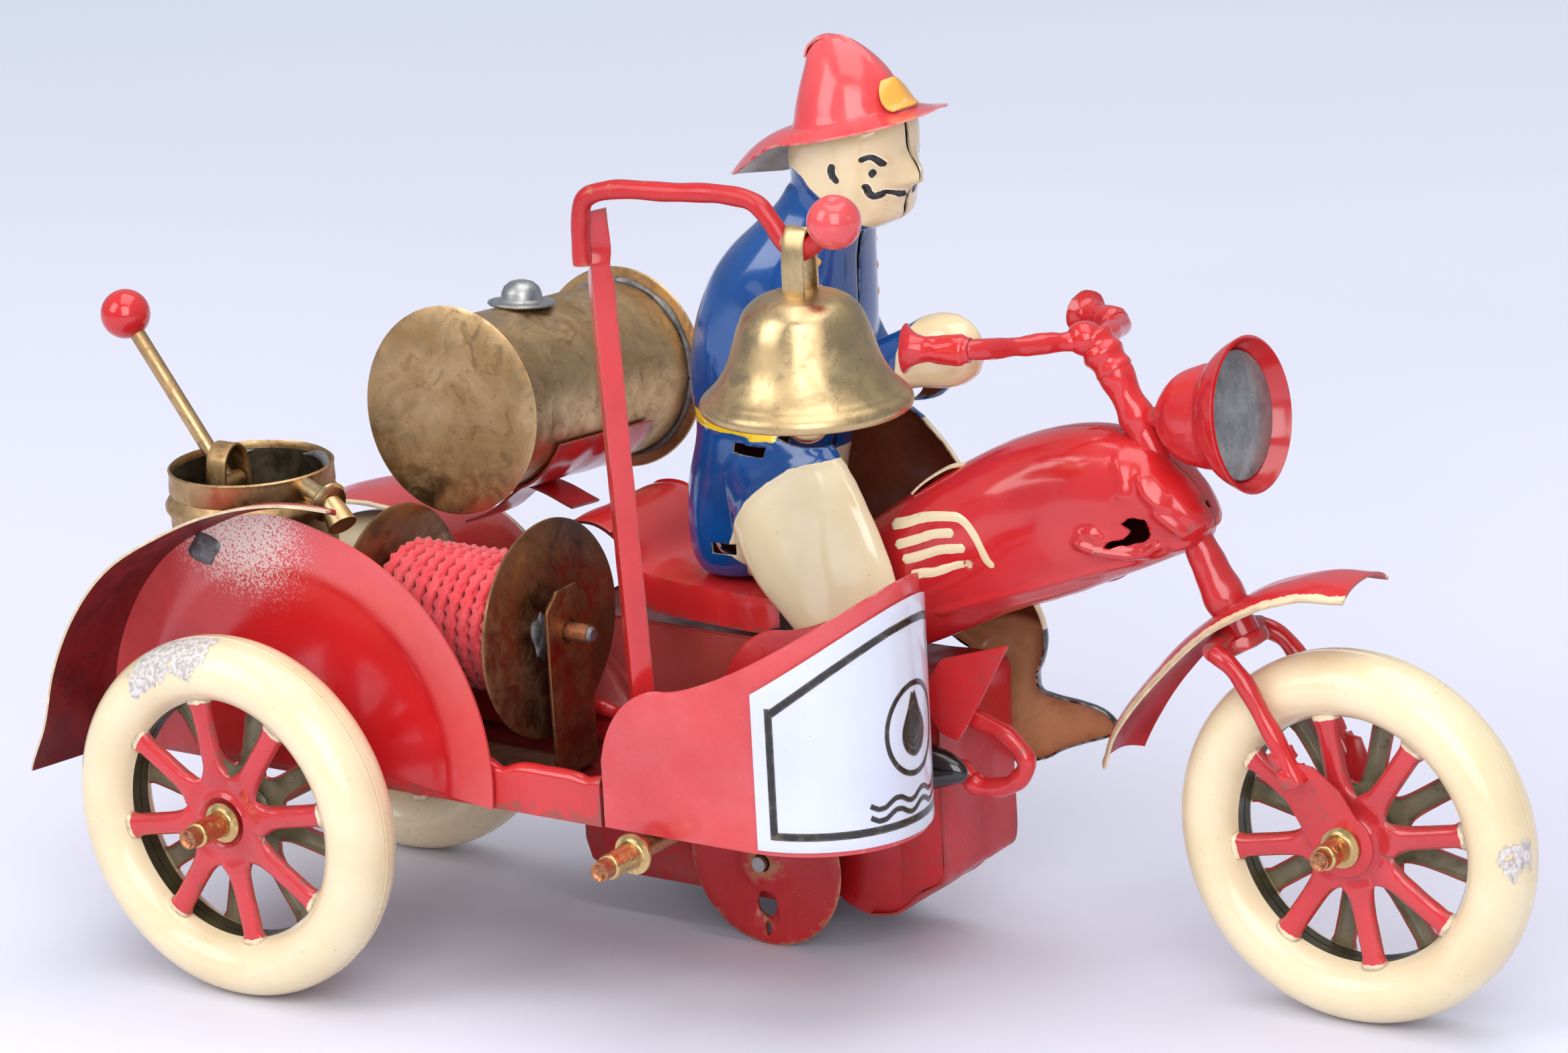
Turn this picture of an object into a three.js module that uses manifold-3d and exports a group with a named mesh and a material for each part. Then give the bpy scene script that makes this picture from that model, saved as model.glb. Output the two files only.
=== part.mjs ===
// A tin wind-up fire-brigade motorcycle with a sidecar, as an assembly of pressed sheet, wire and
// turned pieces. Millimetres, +X forward, +Y to the rider's left, +Z up. While it is being built
// the rear axle is at x = 0 and the motorcycle's middle plane is y = 0. At the end the whole model
// is shifted so that its origin is the bottom centre of its bounding box.
import * as THREE from 'three';
import { mergeVertices } from 'three/addons/utils/BufferGeometryUtils.js';
import Module from 'manifold-3d';

const wasm = await Module();
wasm.setup();

// ---------------------------------------------------------------- driving dimensions
const SHEET = 0.8;            // the gauge that the pressed sheet is modelled with
const GAP = 0.3;              // clearance between pieces that touch
const WHEEL_R = 35;
const TYRE_HALF_WIDTH = 7.4;
const TYRE_RADIAL = 11.8;
const HUB_R = 9;
const SPOKES = 8;
const SPOKE_WIDTH = 4.4;
const AXLE_R = 1.9;
const AXLE_HOLE_R = 2.35;
const WHEELBASE = 214.4;
const SIDECAR_WHEEL_X = 20.1;
const SIDECAR_WHEEL_Y = -79.5;
const DRIVE_X = 96;           // the driving discs below the clockwork
const DRIVE_R = 17;
const GEAR_MODULE = 1.5;
const GREAT_WHEEL_TEETH = 24;
const PINION_TEETH = 8;
const WIRE_R = 1.75;
const STEER_TOP = [163.8, 122.8];      // x, z of two points on the steering axis
const STEER_FOOT = [190, 74];
const TANK_X = 37.3;
const TANK_Z = 99.5;
const TANK_R = 17;
const TANK_LENGTH = 56;
const TANK_TILT = THREE.MathUtils.degToRad(-5.7);
const TRAY_Z = 38;            // the underside of the sidecar's floor
const TRAY_REAR = -15;
const TRAY_RIGHT = -62;
const TRAY_LEFT = -22;
const TRAY_MIDDLE = (TRAY_RIGHT + TRAY_LEFT) / 2;
const NOSE_START = 92;
const NOSE_FRONT = 147;
const BELL_X = 139;
const BELL_Y = -58;
const BELL_HANG_Z = 150;
const REEL_Y = -42;
const REEL_Z = 67.2;
const CAN_X = 1.6;
const CAN_Y = -45;
const CAN_R = 15.8;
const CAN_TOP = 92.5;

// ---------------------------------------------------------------- solids and shapes
// A three.js geometry with closed faces becomes a manifold solid.
function toSolid(geometry) {
  const bare = geometry.clone();
  bare.deleteAttribute('normal');
  bare.deleteAttribute('uv');
  const merged = mergeVertices(bare, 1e-4);
  const index = merged.index.array;
  const kept = [];
  for (let i = 0; i < index.length; i += 3) {
    const [a, b, c] = [index[i], index[i + 1], index[i + 2]];
    if (a !== b && b !== c && c !== a) kept.push(a, b, c);
  }
  const mesh = new wasm.Mesh({
    numProp: 3,
    vertProperties: Float32Array.from(merged.attributes.position.array),
    triVerts: Uint32Array.from(kept),
  });
  const solid = new wasm.Manifold(mesh);
  if (solid.volume() > 0) return solid;
  for (let i = 0; i < kept.length; i += 3) [kept[i], kept[i + 1]] = [kept[i + 1], kept[i]];
  mesh.triVerts = Uint32Array.from(kept);
  return new wasm.Manifold(mesh);
}

// A manifold solid becomes a three.js geometry again.
function toGeometry(solid) {
  const mesh = solid.getMesh();
  const geometry = new THREE.BufferGeometry();
  geometry.setAttribute('position', new THREE.BufferAttribute(mesh.vertProperties, 3));
  geometry.setIndex(new THREE.BufferAttribute(mesh.triVerts, 1));
  geometry.computeVertexNormals();
  return geometry;
}

const join = (...solids) => solids.reduce((whole, next) => whole.add(next));
const cut = (solid, ...tools) => tools.reduce((whole, tool) => whole.subtract(tool), solid);

// A skin through rings of equally many points. A paired ring is an outer line followed by the
// matching inner line backwards, as the section of a bent sheet is.
function loft(rings, { paired = false, closed = false } = {}) {
  const count = rings[0].length;
  const positions = rings.flat().flat();
  const index = [];
  const spans = closed ? rings.length : rings.length - 1;
  for (let i = 0; i < spans; i += 1) {
    const here = i * count;
    const there = ((i + 1) % rings.length) * count;
    for (let j = 0; j < count; j += 1) {
      const k = (j + 1) % count;
      index.push(here + j, here + k, there + k, here + j, there + k, there + j);
    }
  }
  const cap = (start, flip) => {
    const face = (a, b, c) => index.push(start + a, start + (flip ? c : b), start + (flip ? b : c));
    if (!paired) {
      for (let j = 1; j < count - 1; j += 1) face(0, j + 1, j);
      return;
    }
    for (let j = 0; j < count / 2 - 1; j += 1) {
      face(j, count - 1 - j, count - 2 - j);
      face(j, count - 2 - j, j + 1);
    }
  };
  if (!closed) {
    cap(0, false);
    cap((rings.length - 1) * count, true);
  }
  const geometry = new THREE.BufferGeometry();
  geometry.setAttribute('position', new THREE.Float32BufferAttribute(positions, 3));
  geometry.setIndex(index);
  return toSolid(geometry);
}

// A flat plate: an outline of [x, z] points that spans y from low to high.
function plateXZ(outline, low, high, holes = []) {
  const shape = new THREE.Shape(outline.map(([x, z]) => new THREE.Vector2(x, z)));
  let solid = toSolid(new THREE.ExtrudeGeometry(shape, { depth: high - low, bevelEnabled: false })
    .rotateX(Math.PI / 2).translate(0, high, 0));
  for (const [x, z, radius] of holes) solid = cut(solid, rodY(x, z, low - 1, high + 1, radius));
  return solid;
}

// A flat plate: an outline of [x, y] points that spans z from low to high.
function plateXY(outline, low, high) {
  const shape = new THREE.Shape(outline.map(([x, y]) => new THREE.Vector2(x, y)));
  return toSolid(new THREE.ExtrudeGeometry(shape, { depth: high - low, bevelEnabled: false })
    .translate(0, 0, low));
}

function box(low, high) {
  const size = high.map((value, i) => value - low[i]);
  return toSolid(new THREE.BoxGeometry(...size)
    .translate(...high.map((value, i) => (value + low[i]) / 2)));
}

// A round bar between two points.
function rod(from, to, radius, sides = 12, farRadius = radius) {
  const start = new THREE.Vector3(...from);
  const along = new THREE.Vector3(...to).sub(start);
  const turn = new THREE.Quaternion()
    .setFromUnitVectors(new THREE.Vector3(0, 1, 0), along.clone().normalize());
  return toSolid(new THREE.CylinderGeometry(farRadius, radius, along.length(), sides)
    .translate(0, along.length() / 2, 0).applyQuaternion(turn).translate(...from));
}

const rodY = (x, z, low, high, radius, sides = 16) => rod([x, low, z], [x, high, z], radius, sides);

// A wire bent along a smooth curve through its points.
function wire(points, radius, steps, sides = 8) {
  const section = new THREE.Shape(Array.from({ length: sides }, (_, i) => {
    const angle = (2 * Math.PI * i) / sides;
    return new THREE.Vector2(radius * Math.cos(angle), radius * Math.sin(angle));
  }));
  const extrudePath = new THREE.CatmullRomCurve3(points.map((p) => new THREE.Vector3(...p)),
    false, 'centripetal');
  return toSolid(new THREE.ExtrudeGeometry(section, { steps, extrudePath, bevelEnabled: false }));
}

// A turned piece: a profile of [radius, height] points round an axis that starts at `base` and
// points along `axis`.
function turned(profile, base, axis, sides = 20) {
  const points = profile.map(([radius, height]) => new THREE.Vector2(radius, height));
  const turn = new THREE.Quaternion()
    .setFromUnitVectors(new THREE.Vector3(0, 1, 0), new THREE.Vector3(...axis).normalize());
  return toSolid(new THREE.LatheGeometry(points, sides).applyQuaternion(turn).translate(...base));
}

// A turned thin wall between an outer and an inner profile that both run from the axis or mouth.
const turnedShell = (outer, inner, base, axis, sides) => turned(
  [...outer, ...[...inner].reverse(), ...(outer[0][0] > 0 ? [outer[0]] : [])], base, axis, sides);

function ball(centre, radius, wide = 10, high = 6) {
  return toSolid(new THREE.SphereGeometry(radius, wide, high).translate(...centre));
}

// A bent strip of sheet: a path of [x, z] points, with y limits that may change along it.
function strip(path, low, high, thick = SHEET, closed = false) {
  const last = path.length - 1;
  const limit = (value, i) => (typeof value === 'function' ? value(i / last) : value);
  const rings = path.map(([x, z], i) => {
    const before = path[closed ? (i + last) % (last + 1) : Math.max(i - 1, 0)];
    const after = path[closed ? (i + 1) % (last + 1) : Math.min(i + 1, last)];
    const length = Math.hypot(after[0] - before[0], after[1] - before[1]);
    const nx = (-(after[1] - before[1]) / length) * (thick / 2);
    const nz = ((after[0] - before[0]) / length) * (thick / 2);
    const [near, far] = [limit(low, i), limit(high, i)];
    const [outX, outZ, inX, inZ] = [x + nx, z + nz, x - nx, z - nz];
    return [[outX, near, outZ], [outX, far, outZ], [inX, far, inZ], [inX, near, inZ]];
  });
  return loft(rings, { closed });
}

// Points on a circle in the X-Z plane, angles in degrees from +X towards +Z.
function arc(x, z, radius, from, to, count) {
  return Array.from({ length: count + 1 }, (_, i) => {
    const angle = THREE.MathUtils.degToRad(from + ((to - from) * i) / count);
    return [x + radius * Math.cos(angle), z + radius * Math.sin(angle)];
  });
}

// A pressed half shell that bulges along side * Y from its rim. Each station is
// { at: [x, z], across: [x, z] unit vector, half, rim, bulge }.
function halfForm(stations, side, inset, points = 7, power = 0.8) {
  const rings = stations.map(({ at, across, half, rim, bulge }) => {
    const ring = Array.from({ length: points }, (_, i) => {
      const angle = (Math.PI * i) / (points - 1);
      const c = Math.cos(angle);
      const reach = (half - inset) * Math.sign(c) * Math.abs(c) ** power;
      const y = rim + (bulge - inset - rim) * Math.sin(angle) ** power;
      return [at[0] + across[0] * reach, side * y, at[1] + across[1] * reach];
    });
    if (inset > 0) {
      const under = side * (rim - 3);
      const [first, final] = [ring[0], ring[points - 1]];
      ring.push([final[0], under, final[2]], [first[0], under, first[2]]);
    }
    return ring;
  });
  return loft(rings);
}

// Stretches a run of stations past its two ends, so that a hollow runs right through.
function lengthen(stations, by) {
  const shifted = (from, to) => {
    const [dx, dz] = [from.at[0] - to.at[0], from.at[1] - to.at[1]];
    const scale = by / Math.hypot(dx, dz);
    return { ...from, at: [from.at[0] + dx * scale, from.at[1] + dz * scale] };
  };
  const end = stations.length - 1;
  return [shifted(stations[0], stations[1]), ...stations, shifted(stations[end], stations[end - 1])];
}

const unit = (x, z) => [x / Math.hypot(x, z), z / Math.hypot(x, z)];

// ---------------------------------------------------------------- the model's tree
const model = new THREE.Group();

const COLOURS = {
  red: { color: 0xc81e23, roughness: 0.25, metalness: 0.1 },
  cream: { color: 0xeedcb4, roughness: 0.35, metalness: 0 },
  blue: { color: 0x0a4b8c, roughness: 0.3, metalness: 0.1 },
  brass: { color: 0xb0905a, roughness: 0.35, metalness: 1 },
  agedBrass: { color: 0x967d50, roughness: 0.5, metalness: 1 },
  copper: { color: 0xa07050, roughness: 0.4, metalness: 1 },
  steel: { color: 0x8a8a88, roughness: 0.4, metalness: 1 },
  bronze: { color: 0x64462d, roughness: 0.5, metalness: 0.8 },
  rope: { color: 0xc8323c, roughness: 0.9, metalness: 0 },
  white: { color: 0xf2f2f2, roughness: 0.3, metalness: 0 },
  badge: { color: 0xf0aa3c, roughness: 0.4, metalness: 0.3 },
};

function part(name, colour, solid) {
  const mesh = new THREE.Mesh(toGeometry(solid), new THREE.MeshStandardMaterial(COLOURS[colour]));
  mesh.name = name;
  model.add(mesh);
  return mesh;
}

// ---------------------------------------------------------------- wheels
// Half of a wheel about the Y axis: half a hollow tyre, a hub disc and pressed spokes.
function wheelHalf(side, turnDegrees) {
  const middle = WHEEL_R - TYRE_RADIAL / 2;
  const section = (inset) => Array.from({ length: 4 }, (_, i) => {
    const angle = THREE.MathUtils.degToRad(4 + 50 * i);
    const radial = TYRE_RADIAL / 2 - inset;
    const bulge = TYRE_HALF_WIDTH - GAP / 2 - inset;
    return [middle + radial * Math.cos(angle), GAP / 2 + bulge * Math.sin(angle)];
  });
  const tyre = turnedShell(section(0), section(SHEET), [0, 0, 0], [0, side, 0], 20);
  const level = 2.6;
  const hub = turned([[AXLE_HOLE_R, level], [HUB_R, level], [HUB_R, level + SHEET],
    [AXLE_HOLE_R, level + SHEET], [AXLE_HOLE_R, level]], [0, 0, 0], [0, side, 0], 12);
  const half = SPOKE_WIDTH / 2;
  const bar = [[-half, level], [half, level], [half * 0.55, level + 1.7], [-half * 0.55, level + 1.7]];
  const pieces = Array.from({ length: SPOKES }, (_, i) => {
    const angle = (2 * Math.PI * i) / SPOKES + THREE.MathUtils.degToRad(turnDegrees);
    const [c, s] = [Math.cos(angle), Math.sin(angle)];
    const ring = (radius) => bar.map(([w, y]) => [radius * c - w * s, side * y, radius * s + w * c]);
    return loft([ring(HUB_R - 1.5), ring(WHEEL_R - TYRE_RADIAL + 0.9)]);
  });
  return join(tyre, hub, ...pieces);
}

function addWheel(prefix, x, y) {
  for (const [name, side, turn] of [['right', -1, 11], ['left', 1, 33]]) {
    const mesh = part(`${prefix}_${name}`, 'cream', wheelHalf(side, turn));
    mesh.position.set(x, y, WHEEL_R);
  }
}

addWheel('rear_wheel', 0, 0);
addWheel('front_wheel', WHEELBASE, 0);
addWheel('sidecar_wheel', SIDECAR_WHEEL_X, SIDECAR_WHEEL_Y);

// A brass top-hat cap that is pressed on to a pin at x, z: a flange and a sleeve outwards from `face`.
function cap(x, z, face, outward, sleeve) {
  const profile = [[0, 0], [3.8, 0], [3.8, 0.7], [2.6, 0.9], [2.4, sleeve], [0, sleeve]];
  return turned(profile, [x, face, z], [0, outward, 0], 10);
}

// An axle with a cap at its right end and, if both its ends stand out, at its left.
function axle(x, z, right, left, face, sleeve, twoCaps) {
  const pieces = [rodY(x, z, right, left, AXLE_R, 10), cap(x, z, face, -1, sleeve)];
  if (twoCaps) pieces.push(cap(x, z, -face, 1, sleeve));
  return join(...pieces);
}

const AXLE_TIP = 14.7;
part('rear_axle', 'brass', axle(0, WHEEL_R, -AXLE_TIP, AXLE_TIP, -10.7, 3.2, true));
part('front_axle', 'brass', axle(WHEELBASE, WHEEL_R, -AXLE_TIP, AXLE_TIP, -6.3, 6.8, true));
part('sidecar_axle', 'copper', axle(SIDECAR_WHEEL_X, WHEEL_R, SIDECAR_WHEEL_Y - AXLE_TIP, -11.2,
  SIDECAR_WHEEL_Y - 3.9, 8.4, false));

// ---------------------------------------------------------------- fork and steering
const steerDirection = unit(STEER_TOP[0] - STEER_FOOT[0], STEER_TOP[1] - STEER_FOOT[1]);
const onSteerAxis = (z) => {
  const run = (z - STEER_FOOT[1]) / steerDirection[1];
  return [STEER_FOOT[0] + steerDirection[0] * run, 0, z];
};
const STEM_R = 2.2;
const stemHole = rod(onSteerAxis(62), onSteerAxis(126), STEM_R + 0.6, 12);
const crown = box([186.2, -7, 66.6], [196.2, 7, 69.8]);
part('fork_stem', 'red', join(
  rod(onSteerAxis(68.5), onSteerAxis(118.6), STEM_R, 10),
  rod(onSteerAxis(114.2), onSteerAxis(117.6), STEM_R + 1.4, 10),
  crown,
));

// A wire leg whose foot is clamped in a folded lug that steps in to the hub.
const LEG_Y = 9.6;
const LUG_Y = 5;
function forkLeg(side) {
  const leg = wire([[194, side * LEG_Y, 70.4], [199, side * LEG_Y, 64], [205.6, side * LEG_Y, 51],
    [208.5, side * LEG_Y, 45.5]], WIRE_R, 5);
  const plate = (outline, near, far, holes) => plateXZ(outline, Math.min(side * near, side * far),
    Math.max(side * near, side * far), holes);
  const eye = arc(WHEELBASE, WHEEL_R, 6, -160, 60, 7);
  const lug = plate([...eye, [213, 47.5], [209, 50.5], [202.5, 49], [203, 44]], LUG_Y, LUG_Y + 1,
    [[WHEELBASE, WHEEL_R, AXLE_HOLE_R]]);
  const fold = plate([[203.5, 45], [209.5, 43.5], [210.5, 49], [204, 49.3]], LUG_Y + 0.4, LEG_Y + 0.6);
  return join(leg, lug, fold);
}
part('fork_leg_right', 'red', forkLeg(-1));
part('fork_leg_left', 'red', forkLeg(1));

const frontFender = strip([[165.8, 43.2], [168.8, 50], [172.9, 56.5], [178, 63], [183.2, 68.6], [188, 73.2],
  [193.2, 76.9], [199.5, 80.3], [206, 82.4], [211.5, 82.6], [217, 82.4], [226.7, 86.8]],
(t) => (t > 0.95 ? -1.2 : -9), (t) => (t > 0.95 ? 1.2 : 9));
part('front_fender', 'red', cut(frontFender, stemHole));

const handlebarPath = [[138, -23.5, 123.9], [148.6, -21, 124], [153.2, -12, 122.8], [158, -5, 122.4],
  [162, 0, 122.3], [160.5, 9, 121], [157.4, 19, 119.6], [153, 23, 119.3], [146.4, 25, 119.2]];
part('handlebar', 'red', join(
  wire(handlebarPath, 1.9, 14),
  rod([138, -23.5, 123.9], [140.5, -23, 123.9], 4.3, 10, 2.6),
  rod([140.3, -23, 123.9], [147.5, -21.4, 123.9], 2.7, 10),
  rod([146.4, 25, 119.2], [148.6, 24.4, 119.2], 4.3, 10, 2.6),
  rod([148.4, 24.4, 119.2], [154, 22.4, 119.3], 2.7, 10),
));

const LAMP_RIM = [195, 0, 111.7];
const lampAxis = [0.989, 0, 0.147];
const lampBowl = turnedShell(
  [[0, -18.3], [4.5, -17.3], [8, -14], [9.6, -8.5], [10, -5.2], [11, -4.8], [14.3, 0]],
  [[0, -17.3], [4, -16.4], [7.3, -13.4], [8.8, -8.2], [9.2, -4.4], [10.6, -4], [13.6, 0]],
  LAMP_RIM, lampAxis, 18);
part('headlight_bowl', 'red', join(lampBowl, rod([174.2, 0, 108.9], [177.6, 0, 109.4], 1.3, 8)));
part('headlight_lens', 'steel', turned([[0, -3.4], [8.6, -3.4], [8.6, -2.6], [0, -2.4]],
  LAMP_RIM, lampAxis, 18));

// ---------------------------------------------------------------- body shells
const cowlStations = [
  [[104.5, 74.5], [113, 57.5], 12.5],
  [[114.6, 82.8], [123.7, 59.3], 13.6],
  [[124, 89.4], [135, 64.2], 14],
  [[134.2, 95.8], [145.5, 69.3], 13.8],
  [[146.3, 102], [157.4, 73.7], 13],
  [[158.1, 105.5], [168.1, 78.5], 11.5],
  [[168, 105.9], [178.3, 83.2], 9],
  [[176.1, 103.6], [184.4, 86.3], 7.6],
  [[179.6, 100.4], [186.2, 89.4], 6],
].map(([top, foot, bulge]) => {
  const [dx, dz] = [top[0] - foot[0], top[1] - foot[1]];
  return {
    at: [(top[0] + foot[0]) / 2, (top[1] + foot[1]) / 2],
    across: unit(dx, dz),
    half: Math.hypot(dx, dz) / 2,
    rim: GAP / 2,
    bulge,
  };
});

function bodyShell(side) {
  const whole = halfForm(cowlStations, side, 0);
  const hollow = halfForm(lengthen(cowlStations, 3), side, SHEET);
  return cut(whole, hollow, stemHole);
}
part('body_shell_right', 'red', bodyShell(-1));
part('body_shell_left', 'red', bodyShell(1));

// ---------------------------------------------------------------- seat, motor casing, rear fender
const SEAT_HALF = 15;
const seatTop = strip([[50.5, 76.5], [54, 79], [60, 79.6], [65, 77], [70.5, 70.5], [84, 70], [101, 69.6]],
  -SEAT_HALF, SEAT_HALF);
const seatFlap = (low, high) => plateXZ([[66, 75.4], [70.2, 70.2], [84, 69.6], [100.8, 69.2], [95, 61.6],
  [86, 62.4], [76, 64.6], [66, 68.6]], low, high);
part('seat', 'red', join(seatTop, seatFlap(-SEAT_HALF, -SEAT_HALF + SHEET),
  seatFlap(SEAT_HALF - SHEET, SEAT_HALF)));

const COWL_TOP = 60.8;
const COWL_HALF = 14;
const cowlSide = [[52, COWL_TOP], [52, 14], [53.5, 10], [57, 8], [110, 8], [110, COWL_TOP]];
const ARBOR_X = DRIVE_X - 20.8;
const ARBOR_Z = DRIVE_R + 12;
const shaftHoles = [[DRIVE_X, DRIVE_R, 3.2], [ARBOR_X, ARBOR_Z, 3.2]];
part('motor_cowl', 'red', join(
  plateXZ(cowlSide, -COWL_HALF, -COWL_HALF + SHEET, shaftHoles),
  plateXZ(cowlSide, COWL_HALF - SHEET, COWL_HALF, shaftHoles),
  box([52, -COWL_HALF, COWL_TOP - SHEET], [110, COWL_HALF, COWL_TOP]),
));

const PLATE_INNER = 10.8;
const PLATE_OUTER = 11.8;
const plateOutline = [[55, 58], [55, 16], [60, 10.5], [106, 10.5], [106, 58]];
const bearingHoles = [[DRIVE_X, DRIVE_R, 1.9], [ARBOR_X, ARBOR_Z, 2.4]];
const pillars = [[60, 54], [101, 54], [58.6, 14.4]];
const rightPlate = plateXZ(plateOutline, -PLATE_OUTER, -PLATE_INNER, bearingHoles);
part('motor_plate_right', 'steel', join(rightPlate,
  ...pillars.map(([x, z]) => rodY(x, z, -PLATE_INNER - 0.4, PLATE_INNER - GAP, 2.2, 8))));
part('motor_plate_left', 'steel', plateXZ(plateOutline, PLATE_INNER, PLATE_OUTER, bearingHoles));

part('front_plate', 'red', strip([[112, 54.6], [133.6, 54.6], [134.4, 53.8], [134.4, 18], [133, 15.5],
  [116, 7]], -13, 13));

const fenderArc = strip(arc(0, WHEEL_R, 39.5, 205, 42, 14), -10.4, 10.4);
const stayOutline = [[-27, 63], [-30, 60], [-5, 30], [5, 30], [51.4, 26], [51.4, 42], [27, 63.6]];
const stay = (low, high) => plateXZ(stayOutline, low, high, [[0, WHEEL_R, AXLE_HOLE_R]]);
part('rear_fender', 'red', join(fenderArc, stay(-10.4, -9.6), stay(9.6, 10.4)));

// ---------------------------------------------------------------- clockwork
// A spur gear in the X-Z plane with short narrow teeth; the first tooth or gap faces `facing`.
function gear(teeth, facing, toothFirst, low, high, bore) {
  const pitch = (GEAR_MODULE * teeth) / 2;
  const [root, tip] = [pitch - 1.25, pitch + 0.85];
  const step = (2 * Math.PI) / teeth;
  const outline = [];
  for (let i = 0; i < teeth; i += 1) {
    const middle = facing + (i + (toothFirst ? 0 : 0.5)) * step;
    for (const [radius, share] of [[root, -0.24], [tip, -0.11], [tip, 0.11], [root, 0.24]]) {
      const angle = middle + share * step;
      outline.push([radius * Math.cos(angle), radius * Math.sin(angle)]);
    }
  }
  const blank = plateXZ(outline, low, high);
  return bore ? cut(blank, rodY(0, 0, low - 1, high + 1, bore)) : blank;
}

const toPinion = Math.atan2(DRIVE_R - ARBOR_Z, DRIVE_X - ARBOR_X);
const GEAR_Y = -8;
const DISC_Y = 15.3;
const DRIVE_SHAFT_R = 1.5;
const pinion = gear(PINION_TEETH, toPinion + Math.PI, false, GEAR_Y - 1.6, GEAR_Y + 1.6)
  .translate([DRIVE_X, 0, DRIVE_R]);
part('drive_axle', 'steel', join(pinion,
  rodY(DRIVE_X, DRIVE_R, -DISC_Y - 3.6, DISC_Y + 3.6, DRIVE_SHAFT_R, 12)));

function driveDisc(side) {
  const profile = [[DRIVE_SHAFT_R + GAP, 0], [6, 0], [15, 0.9], [DRIVE_R, 0.4], [DRIVE_R, 1.4],
    [6.2, 1.2], [5, 2.4], [DRIVE_SHAFT_R + GAP, 2.4], [DRIVE_SHAFT_R + GAP, 0]];
  const disc = turned(profile, [DRIVE_X, side * DISC_Y, DRIVE_R], [0, side, 0], 20);
  const [low, high] = [side * (DISC_Y - 1), side * (DISC_Y + 4)].sort((a, b) => a - b);
  return cut(disc, box([DRIVE_X - 4.5, low, 8.4 - 1.5], [DRIVE_X + 4.5, high, 8.4 + 1.5]));
}
part('drive_disc_right', 'red', driveDisc(-1));
part('drive_disc_left', 'red', driveDisc(1));

const ARBOR_R = 2;
const KEY_Y = 24;
const greatWheel = gear(GREAT_WHEEL_TEETH, toPinion, true, GEAR_Y - 0.8, GEAR_Y + 0.8, ARBOR_R + GAP);
part('great_wheel', 'brass', greatWheel.translate([ARBOR_X, 0, ARBOR_Z]));
part('winding_arbor', 'steel', rodY(ARBOR_X, ARBOR_Z, -12.8, KEY_Y + 2, ARBOR_R, 12));
const spiral = Array.from({ length: 31 }, (_, i) => {
  const angle = (i * 2 * Math.PI) / 10;
  const radius = 3.1 + (i * 10.6) / 30;
  return [ARBOR_X + radius * Math.cos(angle), ARBOR_Z + radius * Math.sin(angle)];
});
part('mainspring', 'steel', strip(spiral, -4, 6, 0.5));
const keyBow = (side) => turned([[2.6, -0.8], [6, -0.8], [6, 0.8], [2.6, 0.8], [2.6, -0.8]],
  [ARBOR_X, KEY_Y + 5, ARBOR_Z + side * 6.4], [1, 0, 0], 16);
part('winding_key', 'steel', cut(join(
  rodY(ARBOR_X, ARBOR_Z, KEY_Y - 6, KEY_Y + 6, 3.6, 12),
  keyBow(-1),
  keyBow(1),
), rodY(ARBOR_X, ARBOR_Z, KEY_Y - 7, KEY_Y + 2.4, ARBOR_R + GAP, 12)));

// ---------------------------------------------------------------- water tank
function addTankPart(name, colour, solid) {
  const mesh = part(name, colour, solid);
  mesh.position.set(TANK_X, 0, TANK_Z);
  mesh.rotation.x = TANK_TILT;
}
const halfTank = TANK_LENGTH / 2;
const barrelEnd = halfTank - 1.4;
addTankPart('tank_barrel', 'agedBrass', turned([[TANK_R - SHEET, -barrelEnd], [TANK_R, -barrelEnd],
  [TANK_R, barrelEnd], [TANK_R - SHEET, barrelEnd], [TANK_R - SHEET, -barrelEnd]],
[0, 0, 0], [0, 1, 0], 22));
const tankEnd = (side) => turned([[0, 0.3], [15, 0.3], [20, 0.3], [20, -0.9], [16, -0.9], [0, -0.9]],
  [0, side * (halfTank - 0.1), 0], [0, side, 0], 22);
addTankPart('tank_end_right', 'agedBrass', tankEnd(-1));
addTankPart('tank_end_left', 'agedBrass', tankEnd(1));
addTankPart('filler_cap', 'steel', turned([[0, 0], [6.5, 0], [6.5, 0.7], [3.9, 1], [3.7, 2.4], [2.6, 3.9],
  [0, 4.6]], [0, -5, TANK_R + GAP], [0, 0, 1], 12));
addTankPart('tank_cradle', 'red', join(
  strip(arc(0, 0, TANK_R + GAP + SHEET / 2 + 0.1, 205, 335, 8), -15, 15),
  strip([[0.5, -17.9], [-3, -21], [-14.4, -27.6]], -4.5, 4.5),
  strip([[-0.5, -17.9], [5, -19.6], [11.6, -21.6]], -4.5, 4.5),
));

// ---------------------------------------------------------------- rider
const bodyStations = [
  [70.8, 78, 94, 12], [78, 75.2, 100, 13.8], [88, 75.6, 102.4, 14.4], [99, 77.4, 105, 14.6],
  [107, 77.2, 110.6, 15.4], [118, 79.2, 113.4, 15.8], [129, 83.4, 113.8, 15],
  [137, 90, 113.4, 11.8], [142, 96, 116, 9.6], [146, 101, 121.6, 9.8], [149.4, 101.3, 127.6, 10.2],
  [153.4, 101, 126.2, 10.4],
].map(([z, back, front, bulge]) => ({
  at: [(back + front) / 2, z], across: [1, 0], half: (front - back) / 2, rim: GAP / 2, bulge,
}));
const HEAD_TOP = { at: [113.3, 157.2], across: unit(1, 0.23), half: 12, rim: GAP / 2, bulge: 10.2 };
bodyStations.push(HEAD_TOP);

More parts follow.
